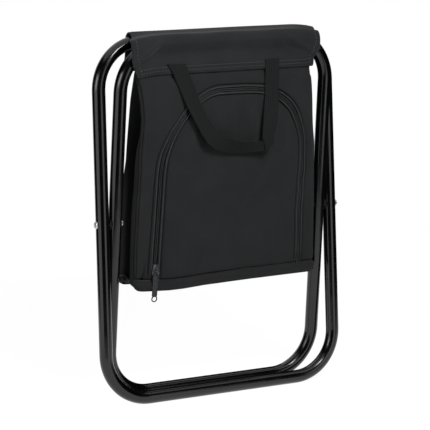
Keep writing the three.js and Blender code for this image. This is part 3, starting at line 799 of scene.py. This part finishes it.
def face_out(x, rise):
    """How far the front stands out: a low pillow, level along the run of the slider, a roll where it leaves
    the hem, and edges that turn back, the left one behind the zipper's leg more and more toward the foot."""
    across = np.clip(1 - (x / FACE_HALF) ** 2, 0, 1)
    down = np.sin(np.pi * np.clip((PANEL_TOP - rise) / (PANEL_TOP - PANEL_BOTTOM), 0, 1)) ** 0.7
    level = bell(x - leg_line(rise), 12) * ease(-rise, 140, 162)
    pillow_out = across * (FULLNESS * down + 0.35 * ripple(x, rise, 31, 100)) * (1 - level)
    uneven = 0.45 * (ripple(x, 0.8 * rise, 33, 42) - 1) * (1 - level)
    pillow_out = pillow_out + uneven * ease(rise, PANEL_BOTTOM, PANEL_BOTTOM + 40)
    roll = HEM_ROLL * ease(-rise, 33, 50) * ease(rise, -150, -70)
    turned_left = LEFT_TURN * ease(-rise, 150, 270) * np.clip(leg_line(rise) - 4 - x, 0, 40)
    turned_right = RIGHT_TURN * np.clip(x - 108, 0, 40) * ease(-rise, 60, 120)
    return pillow_out + roll - turned_left - turned_right


def front_face(out, rise, x):
    """Points of the front from distance over its face. The face leans, so its upper part lies further out,
    and to the left."""
    lean = LEAN * ease(rise, -168, -55)
    hang = rise + foot_line(x) * ease(-rise, 250, 292)
    return hung(PANEL_OUT + lean + face_out(x, rise) + out, hang, x - LEAN_ASKEW * lean, FRONT_BAR, -1)


def door_folds(x, rise):
    """Soft upright folds below the top of the arch, and one slack crease that falls toward the lower left."""
    upright = 1.0 * np.cos(2 * np.pi * (x - 4 - 0.12 * rise) / 44) + 0.5 * np.cos(2 * np.pi * (x + 20) / 27)
    slack = x - 62 - 0.8 * (rise + 165)
    return DOOR_FOLD * bell(rise + 104, 30) * upright + DOOR_CREASE * bell(slack, 7) * bell(rise + 172, 34)


def rows_from_arch(offsets, far_x, far_rise, share):
    """A grid in x and height whose rows follow the arch at the given offsets, then pass over from the last of
    them to a far line by the given shares."""
    x, rise = (np.stack(part) for part in zip(*(wide_line(offset) for offset in offsets)))
    far = ((x, far_x), (rise, far_rise))
    return (np.concatenate([near, near[-1] + (last - near[-1]) * share]) for near, last in far)


def lip(proud, rise):
    """The lip beside the zipper, which sets in just above the foot."""
    return proud * ease(rise, PANEL_BOTTOM, PANEL_BOTTOM + LIP_SETS_IN)


def foot_turn(rise):
    """The turn of the cloth, back into the seam at the foot."""
    return FOOT_TURN * ease(-rise, 288.5, 292.3)


flow = np.concatenate([np.linspace(0, 1, n, endpoint=False) + k for k, n in enumerate(ARCH_COUNTS)] + [[5.0]])
outer_levels = [PANEL_BOTTOM, -150, PANEL_TOP, PANEL_TOP, -140, PANEL_BOTTOM]
outer_rise = np.interp(flow, [0, 1, 1.5, 3.5, 4, 5], outer_levels)
outer_share = np.interp(flow, [0, 1.5, 2, 3, 3.5, 5], [0, 0, 0.27, 0.73, 1, 1])
outer_left, outer_right = (bag_edge("front", word, outer_rise) for word in ("left", "right"))
outer_x = outer_left * (1 - outer_share) + outer_right * outer_share
share = np.linspace(0, 1, 40)[1:, None] ** 0.8
x, rise = rows_from_arch(MARGIN, outer_x, outer_rise, share)
border = np.concatenate([np.zeros((len(MARGIN), 1)), share])
proud = np.concatenate([MARGIN_PROUD[:, None], MARGIN_PROUD[-1] * (1 - share)])
full = np.sin(np.pi * border)
tuck = TUCK_DEPTH * bell(x + 114 - 0.3 * (rise + 276), 3.2) * ease(-rise, 240, 275) * full ** 0.5
rolled = SIDE_TURN * ease(border, 0.95, 1.0) * ease(-rise, 34, 50) + foot_turn(rise)
points = front_face(lip(proud, rise) + full - tuck - rolled, rise, x)
panel = cloth_piece("front_panel_cloth", points, PANEL_CLOTH)
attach(panel, "bag_front")
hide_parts("front_panel")

depths = np.linspace(2, DOOR_CORE, 20)
spine_rise = np.interp(np.minimum(flow, 5 - flow), [0, 1, 1.5], [PANEL_BOTTOM, -150, ARCH_TOP - 70])
spine_x = ARCH_SHIFT + ARCH_SKEW * (spine_rise - PANEL_BOTTOM)
inward = np.linspace(0, 1, 14)[1:, None]
offsets = np.concatenate([-MARGIN, -MARGIN[-1] - depths])
x, rise = rows_from_arch(offsets, spine_x, spine_rise, inward)
depth_in = np.concatenate([0 * MARGIN, depths, DOOR_CORE + 40 * inward[:, 0]])[:, None]
proud = np.concatenate([MARGIN_PROUD, np.full(len(depths) + len(inward), MARGIN_PROUD[-1])])[:, None]
swell = ease(depth_in, 0, 26) * (DOOR_SWELL * ease(rise - PANEL_BOTTOM, 0, 40) + door_folds(x, rise))
points = front_face(lip(proud, rise) + swell - foot_turn(rise), rise, x)
door = cloth_piece("door_cloth", points[:, ::-1], PANEL_CLOTH, weld=True)
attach(door, "bag_front")
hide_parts("door_panel")
for word, offset in (("panel", TOPSTITCH_OFF), ("door", -TOPSTITCH_OFF)):
    x, rise = wide_line(offset)
    above = rise > PANEL_BOTTOM + TOPSTITCH_FROM_FOOT
    line = front_face(TOPSTITCH_OUT, rise[above], x[above])
    forward = np.broadcast_to([0.0, -1.0, 0.0], line.shape)
    row = stitch_row(f"{word}_topstitch", line, forward, thread_grey, length=2.4, pitch=2.8, width=0.7)
    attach(row, "bag_front")

# Zipper: two black woven tapes under the lips of the panel and the door, and a nylon coil between them.
# Each side of the coil is a row of small loops, made here as a round strand that swells once for each loop.
TAPE_OFFSETS = np.array([[0.02, 2.0, 3.6, 5.2], [-5.2, -3.6, -2.0, -0.02]])
TAPE_SUNK = 2.2
TAPE_THICK = 0.7
COIL_PITCH = 2.0
COIL_RADIUS = 0.8
COIL_OFFSET = 1.1
COIL_SUNK = 0.3
COIL_FROM_FOOT = 14.0
TAPE_BLACK = (0.005, 0.0051, 0.0053)
TAPE_DARK = (0.003, 0.0031, 0.0033)
TAPE_PALE = (0.008, 0.0082, 0.0085)
COIL_BLACK = (0.036, 0.037, 0.037)
zip_tape, tree, shader = finish("zip_tape", TAPE_BLACK, 0.85)
ribs = woven(tree, 0.0008)
vary(tree, shader, "Base Color", ribs, TAPE_DARK, TAPE_PALE, 0.0, 1.0)
bump(tree, shader, ribs, 0.3, 0.0002)
zip_nylon, tree, shader = finish("zip_nylon", COIL_BLACK, 0.56, Specular_IOR_Level=0.3)
vary(tree, shader, "Roughness", noise(tree, 900, 2), 0.5, 0.62)
tapes = []
for offsets in TAPE_OFFSETS:
    x, rise = (np.stack(part) for part in zip(*(arch_line(offset) for offset in offsets)))
    tapes.append((front_face(-TAPE_SUNK, rise, x), False, False))
tape = thicken(make_piece("zip_tapes", *tapes, material=zip_tape), TAPE_THICK)
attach(tape, "bag_front")
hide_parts("zip_outer_tape", "zip_inner_tape")
strand_turn = full_turn(8)[None, :]
strands = []
for offset in (COIL_OFFSET, -COIL_OFFSET):
    line = np.stack(arch_line(offset), -1)
    run = travelled(line)
    distance = np.arange(COIL_FROM_FOOT, run[-1], COIL_PITCH / 6)
    line = spaced(line, run, distance)
    along = unit(np.gradient(line, axis=0))
    phase = np.pi * distance / COIL_PITCH + (offset > 0) * np.pi / 2
    swell = COIL_RADIUS * (0.72 + 0.28 * np.abs(np.sin(phase)))
    swell[[0, -1]] = 0
    spread = swell[:, None] * np.cos(strand_turn)
    x = line[:, :1] - along[:, 1:] * spread
    rise = line[:, 1:] + along[:, :1] * spread
    strands.append((front_face(-COIL_SUNK + swell[:, None] * np.sin(strand_turn), rise, x), False, True))
coil = make_piece("zip_coil_loops", *strands, material=zip_nylon, weld=True)
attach(coil, "bag_front")
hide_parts("zip_coil")

# Seam shade: a thin black cord laid into the seam between the front panel and each gusset, from below
# the hem to the foot. It is painted shade, a dark cord standing for the shadow in the seam groove.
CORD_RADIUS = 1.1
CORD_TOP = -48
CORD_ASIDE = 0.9
CORD_SUNK = 2.4
CORD_STEPS = 120
seam_shade_cords = []
for word, hand in (("left", -1), ("right", 1)):
    rise = np.linspace(CORD_TOP, PANEL_BOTTOM + 2, CORD_STEPS)[:, None]
    girth = CORD_RADIUS * (1 - np.linspace(-1, 1, CORD_STEPS)[:, None] ** 40)
    x = bag_edge("front", word, rise) + hand * CORD_ASIDE + girth * np.cos(strand_turn)
    seam_shade_cords.append((front_face(girth * np.sin(strand_turn) - CORD_SUNK, rise, x), False, True))
# The cord takes the zip tape's black as painted shade in the seam groove.
seam_shade_cord = make_piece("front_seam_shade_cords", *seam_shade_cords, material=zip_tape, weld=True)
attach(seam_shade_cord, "bag_front")

# Rear panel: a plain sheet of the same cloth, sewn to the rear hem. It hangs askew, because its sleeve
# has slid along the rear bar.
EDGES["rear"] = {
    "left": ((-300, -290, -250, -220, -190, -166, -145, -120, -95, -71, -31),
             (-135, -134.5, -133, -132, -130.5, -128.1, -124.6, -122.8, -120.6, -118.4, -112)),
    "right": ((-300, -133, -96, -71, -31), (127, 134, 136, 138, 139)),
}
REAR_FULLNESS = 3.4
REAR_TURN = 3.2


def across_bag(end, rise, column, inset=0):
    """Places across a panel, from its left edge at column -1 to its right edge at 1, drawn in by inset."""
    left, right = bag_edge(end, "left", rise) + inset, bag_edge(end, "right", rise) - inset
    return left * (1 - column) / 2 + right * (1 + column) / 2


row, column = grid(100, 101)
rise = PANEL_BOTTOM + (PANEL_TOP - PANEL_BOTTOM) * row + 0 * column
x = across_bag("rear", rise, column)
full = (1 - column ** 2) * np.sin(np.pi * row) ** 0.6
uneven = 0.9 * ripple(x, rise, 53, 120) + 0.4 * ripple(x, 0.2 * rise, 54, 60)
out = PANEL_OUT + REAR_FULLNESS * full + full * uneven - REAR_TURN * ease(np.abs(column), 0.975, 1.0)
points = hung(out, rise, x, REAR_BAR, 1)
rear_panel = cloth_piece("rear_panel_cloth", points[:, ::-1], PANEL_CLOTH)
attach(rear_panel, "bag_rear")
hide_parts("rear_panel")

# Insulation: foam sheets behind both panels and the door, covered on the inside with a silver lining.
# The lining is quilted to the foam in diamonds, so one padded piece stands for both.
LINING_OUT = -4.2
LINING_TOP = -38
LINING_INSET = 24
LINING_THICK = 2.3
QUILT_PITCH = 60
PADDED_NODES = {
    "front": ("front_lining", "front_insulation", "door_insulation"),
    "rear": ("rear_lining", "rear_insulation"),
}
SILVER = (0.5, 0.51, 0.52)
SILVER_DARK = (0.42, 0.43, 0.44)
SILVER_PALE = (0.58, 0.59, 0.6)
silver, tree, shader = finish("silver_lining", SILVER, 0.32, Metallic=0.6)
crinkle = noise(tree, 160, 4)
vary(tree, shader, "Roughness", crinkle, 0.22, 0.45)
vary(tree, shader, "Base Color", crinkle, SILVER_DARK, SILVER_PALE)
bump(tree, shader, crinkle, 0.4, 0.0012)
for end, bar, toward in ENDS:
    row, column = grid(80, 101)
    rise = PANEL_BOTTOM + (LINING_TOP - PANEL_BOTTOM) * row + 0 * column
    x = across_bag(end, rise, toward * column, LINING_INSET)
    diamonds = np.sin(np.pi * (x + rise) / QUILT_PITCH) * np.sin(np.pi * (x - rise) / QUILT_PITCH)
    points = hung(LINING_OUT + 1.0 - np.abs(diamonds) ** 0.4, rise, x, bar, toward)
    lining = make_piece(f"{end}_quilted_lining", (points, False, False), material=silver)
    thicken(lining, LINING_THICK)
    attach(lining, f"bag_{end}")
    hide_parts(*PADDED_NODES[end])

# Gussets: the sides of the bag, of the same cloth. Each is folded inward along an upright crease between its
# front and rear half, so that a narrow wall shows behind the panel and the rest is a deep dark tuck.
GUSSET_CLOTH = 1.2
GUSSET_TUCK = 30.0
GUSSET_TOP = -38.0
GUSSET_BOTTOM = {"front": -299.5, "rear": -293.5}
GUSSET_SUNK = 4.2
GATHER_WALL = 16
GATHER_CREASE = 24
WALL_SWELL = 1.2
WALL_STAND = 1.9


for end, bar, toward in ENDS:
    for word, hand in (("left", -1), ("right", 1)):
        in_front = end == "front"
        row, column = grid(90, 40, 0)
        low = GUSSET_BOTTOM["rear"] * column + GUSSET_BOTTOM[end] * (1 - column)
        level = low + (GUSSET_TOP - low) * row
        gathered = GATHER_WALL * ease(column, 0.1, 0.4) + GATHER_CREASE * ease(column, 0.62, 0.95)
        rise = level + gathered * ease(row, 0.6, 1.0)
        seam = bag_edge(end, word, level)
        crease = (bag_edge("front", word, level) + bag_edge("rear", word, level)) / 2 - hand * GUSSET_TUCK
        fold_start = 0.12 + in_front * (0.6 * ease(-level, 104, 165) + 0.22 * ease(-level, 165, 250))
        tucked = np.clip((column - fold_start) / (1 - fold_start), 0, 1)
        inward = 0.35 * tucked + 0.65 * ease(tucked, 0, 1)
        swell = (WALL_SWELL + 0.4 * ripple(40 * column, level, 61 + hand, 90)) * np.sin(np.pi * column)
        stand = WALL_STAND * ease(column, 0, 0.14) + swell * (1 - tucked)
        stand = stand + 1.5 * column * ease(-level, 150, 240)
        x = seam + (crease - seam) * inward + hand * (stand - 0.6)
        brink_out = PANEL_OUT - REAR_TURN
        if in_front:
            brink = front_face(-GUSSET_SUNK, level, seam)
            brink_out = FRONT_BAR[1] - brink[..., 1]
            x = x + (brink[..., 0] - seam) * (1 - column)
        out = brink_out - (BAR_GAP + brink_out - 0.2) * column + 0 * row
        points = hung(out, rise, x, bar, toward)
        if (hand < 0) == in_front:
            points = points[:, ::-1]
        gusset = cloth_piece(f"{word}_gusset_{end}", points, GUSSET_CLOTH)
        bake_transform(gusset)
        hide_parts(f"{word}_gusset_{end}_half")

# Lower edge: a doubled band of the cloth along the foot of each panel, with a rolled face. It is sewn over
# the seam of panel and base, and its ends turn round the corners of the bag.
BAND_THICK = 1.8
BAND_LOW = -303.6
BAND_ROLL = 4.2
BAND_SUNK = 2.8
BAND_CORNER = 8.8
BAND_BEND = 13
REAR_LIFT = {"front": 0.0, "rear": 3.5}
for end, bar, toward in ENDS:
    row, column = grid(22, 161)
    column = -toward * column
    left, right = (bag_edge(end, word, PANEL_BOTTOM) for word in ("left", "right"))
    begin = np.where(column < 0, -left, right) - 8.5
    reach = np.abs(column) * (begin + 20)
    bend = np.clip((reach - begin) / BAND_BEND, 0, 1) * np.pi / 2
    x = np.sign(column) * (np.minimum(reach, begin) + BAND_CORNER * np.sin(bend))
    back = BAND_CORNER * (1 - np.cos(bend)) + np.clip(reach - begin - BAND_BEND, 0, 10)
    lift = REAR_LIFT[end]
    low = BAND_LOW + foot_line(x) + 6.0 * ease(reach - begin, 6 - 2 * lift, 20) + lift
    rise = low + (PANEL_BOTTOM + foot_line(x) + lift - low) * row
    roll = np.sin(np.pi * row) ** 0.5
    out = PANEL_OUT - BAND_SUNK + BAND_ROLL * roll - back + 0.25 * ripple(x, 20 * row, 71, 45)
    x = x + np.sign(column) * (2.5 * roll - 1.6) * np.sin(bend)
    points = hung(out, rise, x, bar, toward)[:, ::-1]
    band = cloth_piece(f"{end}_lower_band", points, BAND_THICK)
    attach(band, f"bag_{end}")
    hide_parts(f"{end}_base_band")

# Base: the floor of the bag, of the same cloth, sewn into the lower edges. It is folded up along its middle,
# between its front and rear halves.
BASE_CLOTH = 1.2
BASE_RISE = 5.0
BASE_INSET = 3
BASE_SUNK = 2.6
CORNER_START = 122
CORNER_REACH = 9.7
CORNER_RISE = 5.0


def band_low(x):
    """Height of the bag's lower edge: level with the foot of the band, and rounded up at the corners."""
    share = np.clip((np.abs(x) - CORNER_START) / CORNER_REACH, 0, 1)
    return BAND_LOW + foot_line(x) + CORNER_RISE * (1 - np.sqrt(1 - share ** 2))


for end, bar, toward in ENDS:
    row, column = grid(30, 101)
    x = across_bag(end, PANEL_BOTTOM, -toward * column, BASE_INSET)
    out = PANEL_OUT - BASE_SUNK - (BAR_GAP + PANEL_OUT - BASE_SUNK - 0.2) * row + 0 * column
    uneven = 0.4 * ripple(x, 60 * row, 81, 70) * ease(row, 0, 0.3)
    rise = band_low(x) + REAR_LIFT[end] + 0.6 + BASE_RISE * ease(row, 0.2, 1) + uneven
    points = hung(out, rise, x, bar, toward)
    base = cloth_piece(f"{end}_base_cloth", points[:, ::-1], BASE_CLOTH)
    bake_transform(base)
    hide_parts(f"base_{end}_half")

# Zipper slider: a die-cast body of two plates that straddle the coil, joined by a post, with a bridge for the
# pull on its face. It is enamelled black, and worn bright in patches.
SLIDER_FOOT = 8.0
SLIDER_LENGTH = 13.5
SLIDER_HALF = 5.2
SLIDER_PLATES = ((1.95, 3.3), (-3.4, -1.9))
PLATE_RIM = 0.5
BRIDGE_RADIUS = 3.5
BRIDGE_OUT = 2.9
BRIDGE_WIRE = 0.8
POST_UP = 1.3
POST_REACH = 2.5
POST_WIRE = 0.25
SLIDER_DARK = (0.024, 0.025, 0.027)
SLIDER_WORN = (0.26, 0.27, 0.29)


def pillow(outline, low, high, edge):
    """A slab with soft rims: an outline in two axes, drawn in by `edge` on both faces and closed at their
    middles."""
    middle = outline.mean(0)
    inset = 1 - edge / np.max(np.linalg.norm(outline - middle, axis=1))
    rim = [0.0, 0.6 * inset, inset, 0.5 + 0.5 * inset, 1.0]
    lower = [low, low, low, low + 0.3 * edge, low + edge]
    upper = [high - edge, high - 0.3 * edge, high, high, high]
    flat = middle + np.array(rim + rim[::-1])[:, None, None] * (outline - middle)[None]
    heights = np.broadcast_to(np.array(lower + upper)[:, None, None], flat.shape[:2] + (1,))
    return np.concatenate([flat, heights], -1)


def wire_run(route, radius):
    """A round wire along a route of points, with its ends drawn to a point."""
    along = unit(np.gradient(route, axis=0))
    first = unit(np.cross(along, np.array([1.0, 0.01, 0.0])))
    second = np.cross(along, first)
    spin = full_turn(10)[None, :, None]
    girth = np.full(len(route), radius)
    girth[[0, -1]] = 0
    ring = np.cos(spin) * first[:, None] + np.sin(spin) * second[:, None]
    return route[:, None, :] + girth[:, None, None] * ring


def on_zip(points):
    """Slider's own axes (across, up the leg, out of the face) to the stool's frame, along the slanted left
    leg."""
    tilt = np.arctan(ARCH_SKEW)
    across, up, out = points[..., 0], points[..., 1], points[..., 2]
    foot = -ARCH_HALF + ARCH_SHIFT - LEG_PULL + ARCH_SKEW * SLIDER_FOOT
    x = foot + across * np.cos(tilt) + up * np.sin(tilt)
    rise = PANEL_BOTTOM + SLIDER_FOOT - across * np.sin(tilt) + up * np.cos(tilt)
    return hung(PANEL_OUT + out, rise, x, FRONT_BAR, -1)


def enamel_finish(name, dark, worn):
    """Thin black enamel on die-cast metal, rubbed through to a paler tone in small patches."""
    made, tree, shader = finish(name, dark, 0.3, Metallic=0.7)
    patches = noise(tree, 900, 4)
    vary(tree, shader, "Base Color", patches, dark, worn, 0.42, 0.72)
    vary(tree, shader, "Roughness", patches, 0.18, 0.4)
    return made


slider_enamel = enamel_finish("black_enamel", SLIDER_DARK, SLIDER_WORN)
outline_up = np.array([0, 0, 2.0, 5.5, 8.0, 11.5, SLIDER_LENGTH, SLIDER_LENGTH])
outline_across = np.array([0, 4.4, SLIDER_HALF, SLIDER_HALF, 4.2, 3.9, 3.4, 0])
right = np.stack([outline_across, outline_up], -1)
outline = np.concatenate([right, (right * [-1, 1])[::-1][1:-1]])
plates = [pillow(outline, low, high, PLATE_RIM) for low, high in SLIDER_PLATES]
arc = np.linspace(0, np.pi, 25)
bridge_up = SLIDER_LENGTH / 2 + BRIDGE_RADIUS * np.cos(arc)
bridge = np.stack([0 * arc, bridge_up, BRIDGE_OUT + BRIDGE_RADIUS * np.sin(arc)], -1)
post = np.stack([np.zeros(6), np.full(6, POST_UP), np.linspace(-POST_REACH, POST_REACH, 6)], -1)
parts = (*plates, wire_run(bridge, BRIDGE_WIRE), wire_run(post, POST_WIRE))
patches = [(on_zip(part), False, True) for part in parts]
slider = make_piece("zip_slider_body", *patches, material=slider_enamel, weld=True)
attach(slider, "zip_slider")
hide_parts("zip_slider")

# Pull: a link that hangs in the slider's bridge, a flat ribbed tab, and a round eye at the lower end.
# It is die-cast in one piece and enamelled like the slider, but less worn.
PULL_LENGTH = 41.0
PULL_TILT = 0.06
PULL_ASIDE = 0.5
WIRE = 0.75
LINK_ROUTE = np.array([
    (0, 0), (1.9, 0), (2.2, -0.5), (2.2, -6.5), (-2.2, -6.5), (-2.2, -0.5), (-1.9, 0), (0, 0),
], float)
TAB_HALF = 3.9
TAB_TOP = -5.6
TAB_THICK = 0.95
TAB_GROOVE = 0.22
EYE_RADIUS = 3.4
PULL_DARK = (0.013, 0.0148, 0.0168)
PULL_WORN = (0.07, 0.077, 0.085)
pull_at = joint_at["pull_swing"] - [LEG_PULL + PULL_ASIDE, 0, 0]
fine = np.linspace(0, len(LINK_ROUTE) - 1, 60)
link = spaced(LINK_ROUTE, np.arange(len(LINK_ROUTE)), fine)
link = np.stack([link[:, 0], 0 * fine, link[:, 1]], -1)
eye_at = -PULL_LENGTH + 0.8 + EYE_RADIUS + WIRE
spin = np.linspace(0, 2 * np.pi, 41)
eye = np.stack([EYE_RADIUS * np.sin(spin), 0 * spin, eye_at + EYE_RADIUS * np.cos(spin)], -1)
length = np.linspace(0, 1, 60)[:, None]
tab_rise = TAB_TOP + (eye_at + EYE_RADIUS - 1.2 - TAB_TOP) * length
thick = TAB_THICK - TAB_GROOVE * (np.sin(np.pi * length * 9) ** 8) * ease(length, 0.45, 0.55)
rounded = np.sqrt(np.clip(1 - (2 * length - 1) ** 24, 0, 1))
half = TAB_HALF * (1 - 0.06 * ease(length, 0.5, 0.62)) * rounded
around = full_turn(24)[None, :]
square = np.sign(np.cos(around)) * np.abs(np.cos(around)) ** 0.5
face = np.sign(np.sin(around)) * np.abs(np.sin(around)) ** 0.5
tab = np.stack([half * square, thick * face * (half > 0), tab_rise + 0 * square], -1)
for part in (link, eye, tab):
    part[..., 0] += PULL_TILT * part[..., 2]
pull_enamel = enamel_finish("pull_enamel", PULL_DARK, PULL_WORN)
patches = [(pull_at + part, False, True) for part in (wire_run(link, WIRE), wire_run(eye, WIRE), tab)]
pull = make_piece("zip_pull_tab", *patches, material=pull_enamel, weld=True)
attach(pull, "zip_pull")
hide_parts("zip_pull")

# Handle: one length of ribbed charcoal webbing, its two ends sewn on at the hem. The left leg hangs in an
# easy curve; at the lower right the strap is creased over on the slant and rises in front of itself to its
# other end.
STRAP_HALF = 9.9
STRAP_THICK = 1.9
STRAP_OUT = 14.2
STRAP_BOW = 3.4
STRAP_STEPS = 31
# The left leg's middle line in x and height, and its twist in degrees.
STRAP_ROUTE = np.array([
    (-79.0, -23.5, 0), (-73.6, -36.0, 0), (-65.2, -54.0, -4), (-57.8, -71.0, -10), (-50.5, -86.0, -17),
    (-43.5, -99.0, -20), (-36.0, -110.5, -14), (-25.0, -120.5, 4), (-10.0, -127.5, 24), (12.0, -132.0, 38),
])
SEWN_RISE = -24.0
SEWN_SLANT = 4.5
SEWN_SHARES = np.array([1.0, 0.75, 0.5, 0.25, 0.1])[:, None]
FOLD_LOW = np.array([45.0, -138.5])
FOLD_HIGH = np.array([56.5, -128.0])
FOLD_RADIUS = 1.3
LEG_RISE = np.array([-138.0, -122.0, -100.0, -70.0, -25.0])
LEG_LEFT = np.array([45.0, 41.0, 43.5, 47.5, 48.0])
LEG_RIGHT = np.array([52.0, 56.5, 63.0, 67.0, 67.5])
RIBS_ACROSS = 7
PICKS_ALONG = 230
WEBBING = (0.01, 0.0104, 0.0106)
WEBBING_DARK = (0.0105, 0.0111, 0.0115)
WEBBING_PALE = (0.0227, 0.0237, 0.0245)


def smooth_route(knots, count):
    """A curve through the knots, Catmull-Rom: each span is the cubic whose end slopes are half the step
    between the neighbouring knots. Points are then spaced evenly by length."""
    padded = np.concatenate([2 * knots[:1] - knots[1:2], knots, 2 * knots[-1:] - knots[-2:-1]])
    t = np.linspace(0, 1, 30, endpoint=False)[:, None, None]
    a, b, c, d = (padded[i:len(padded) - 3 + i][None] for i in range(4))
    square, cube = 2 * a - 5 * b + 4 * c - d, 3 * b - a - 3 * c + d
    curve = 0.5 * (2 * b + (c - a) * t + square * t ** 2 + cube * t ** 3)
    curve = np.concatenate([curve.transpose(1, 0, 2).reshape(-1, knots.shape[1]), knots[-1:]])
    run = travelled(curve)
    return spaced(curve, run, np.linspace(0, run[-1], count))


width = np.linspace(-1, 1, STRAP_STEPS)
route = smooth_route(STRAP_ROUTE, 110)
along = unit(np.gradient(route[:, :2], axis=0))
twist = np.radians(route[:, 2])
broad = np.stack([-along[:, 1] * np.cos(twist), -np.sin(twist), along[:, 0] * np.cos(twist)], -1)
bow = STRAP_OUT + STRAP_BOW * ease(-route[:, 1], 50, 120)
left_leg = hung(bow, route[:, 1], route[:, 0], FRONT_BAR, -1)[:, None]
left_leg = left_leg + STRAP_HALF * width[None, :, None] * broad[:, None]
sewn = len(SEWN_SHARES)
left_leg[:sewn, :, 2] += (FRONT_BAR[2] + SEWN_RISE - left_leg[:1, :, 2]) * SEWN_SHARES
left_leg[:sewn, :, 0] -= SEWN_SLANT * (1 - width) / 2 * SEWN_SHARES
fold_share = (1 + width) / 2
fold_x = FOLD_LOW[0] + (FOLD_HIGH[0] - FOLD_LOW[0]) * fold_share
fold_rise = FOLD_LOW[1] + (FOLD_HIGH[1] - FOLD_LOW[1]) * fold_share
fold_line = hung(np.full(STRAP_STEPS, STRAP_OUT + STRAP_BOW), fold_rise, fold_x, FRONT_BAR, -1)
reach = np.linspace(0, 1, 26)[1:, None, None]
bottom = left_leg[-1:] + (fold_line[None] - left_leg[-1:]) * reach
turn = np.linspace(-np.pi / 2, np.pi / 2, 9)[1:, None]
fold_out = STRAP_OUT + STRAP_BOW + FOLD_RADIUS * (1 + np.sin(turn))
corner_rise, corner_x = fold_rise - 1.1 * np.cos(turn), fold_x + 0.8 * np.cos(turn)
corner = hung(fold_out + 0 * fold_x, corner_rise, corner_x, FRONT_BAR, -1)
lift = np.linspace(0, 1, 70)[1:, None]
leg_rise = fold_rise + (SEWN_RISE - fold_rise) * lift
leg_left, leg_right = np.interp(leg_rise, LEG_RISE, LEG_LEFT), np.interp(leg_rise, LEG_RISE, LEG_RIGHT)
leg_x = fold_x + (leg_left + (leg_right - leg_left) * fold_share - fold_x) * ease(lift, 0, 0.16)
leg_out = STRAP_OUT + (STRAP_BOW + 2 * FOLD_RADIUS) * (1 - ease(lift, 0.05, 0.7))
right_leg = hung(leg_out + 0 * leg_x, leg_rise, leg_x, FRONT_BAR, -1)
points = np.concatenate([left_leg, bottom, corner, right_leg])

webbing, tree, shader = finish("ribbed_webbing", WEBBING, 0.85, Sheen_Weight=0.03, Specular_IOR_Level=0.15)
place = coordinates(tree, "UV")
ribs = sine(tree, place["X"], 2 * np.pi * RIBS_ACROSS)
picks = sine(tree, place["Y"], 2 * np.pi * PICKS_ALONG)
relief = ramp(tree, math_node(tree, "MULTIPLY_ADD", picks, 0.35, ribs), 0.0, 1.0, -1.35, 1.35)
vary(tree, shader, "Base Color", relief, WEBBING_DARK, WEBBING_PALE, 0.1, 0.9)
bump(tree, shader, relief, 0.5, 0.0004)
strap = make_piece("handle_webbing", (points, False, False), material=webbing)
thicken(strap, STRAP_THICK, offset=0)
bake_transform(strap)
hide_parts("handle_strap")

# The box round every piece the render shows, leaving out the studio.
low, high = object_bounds()
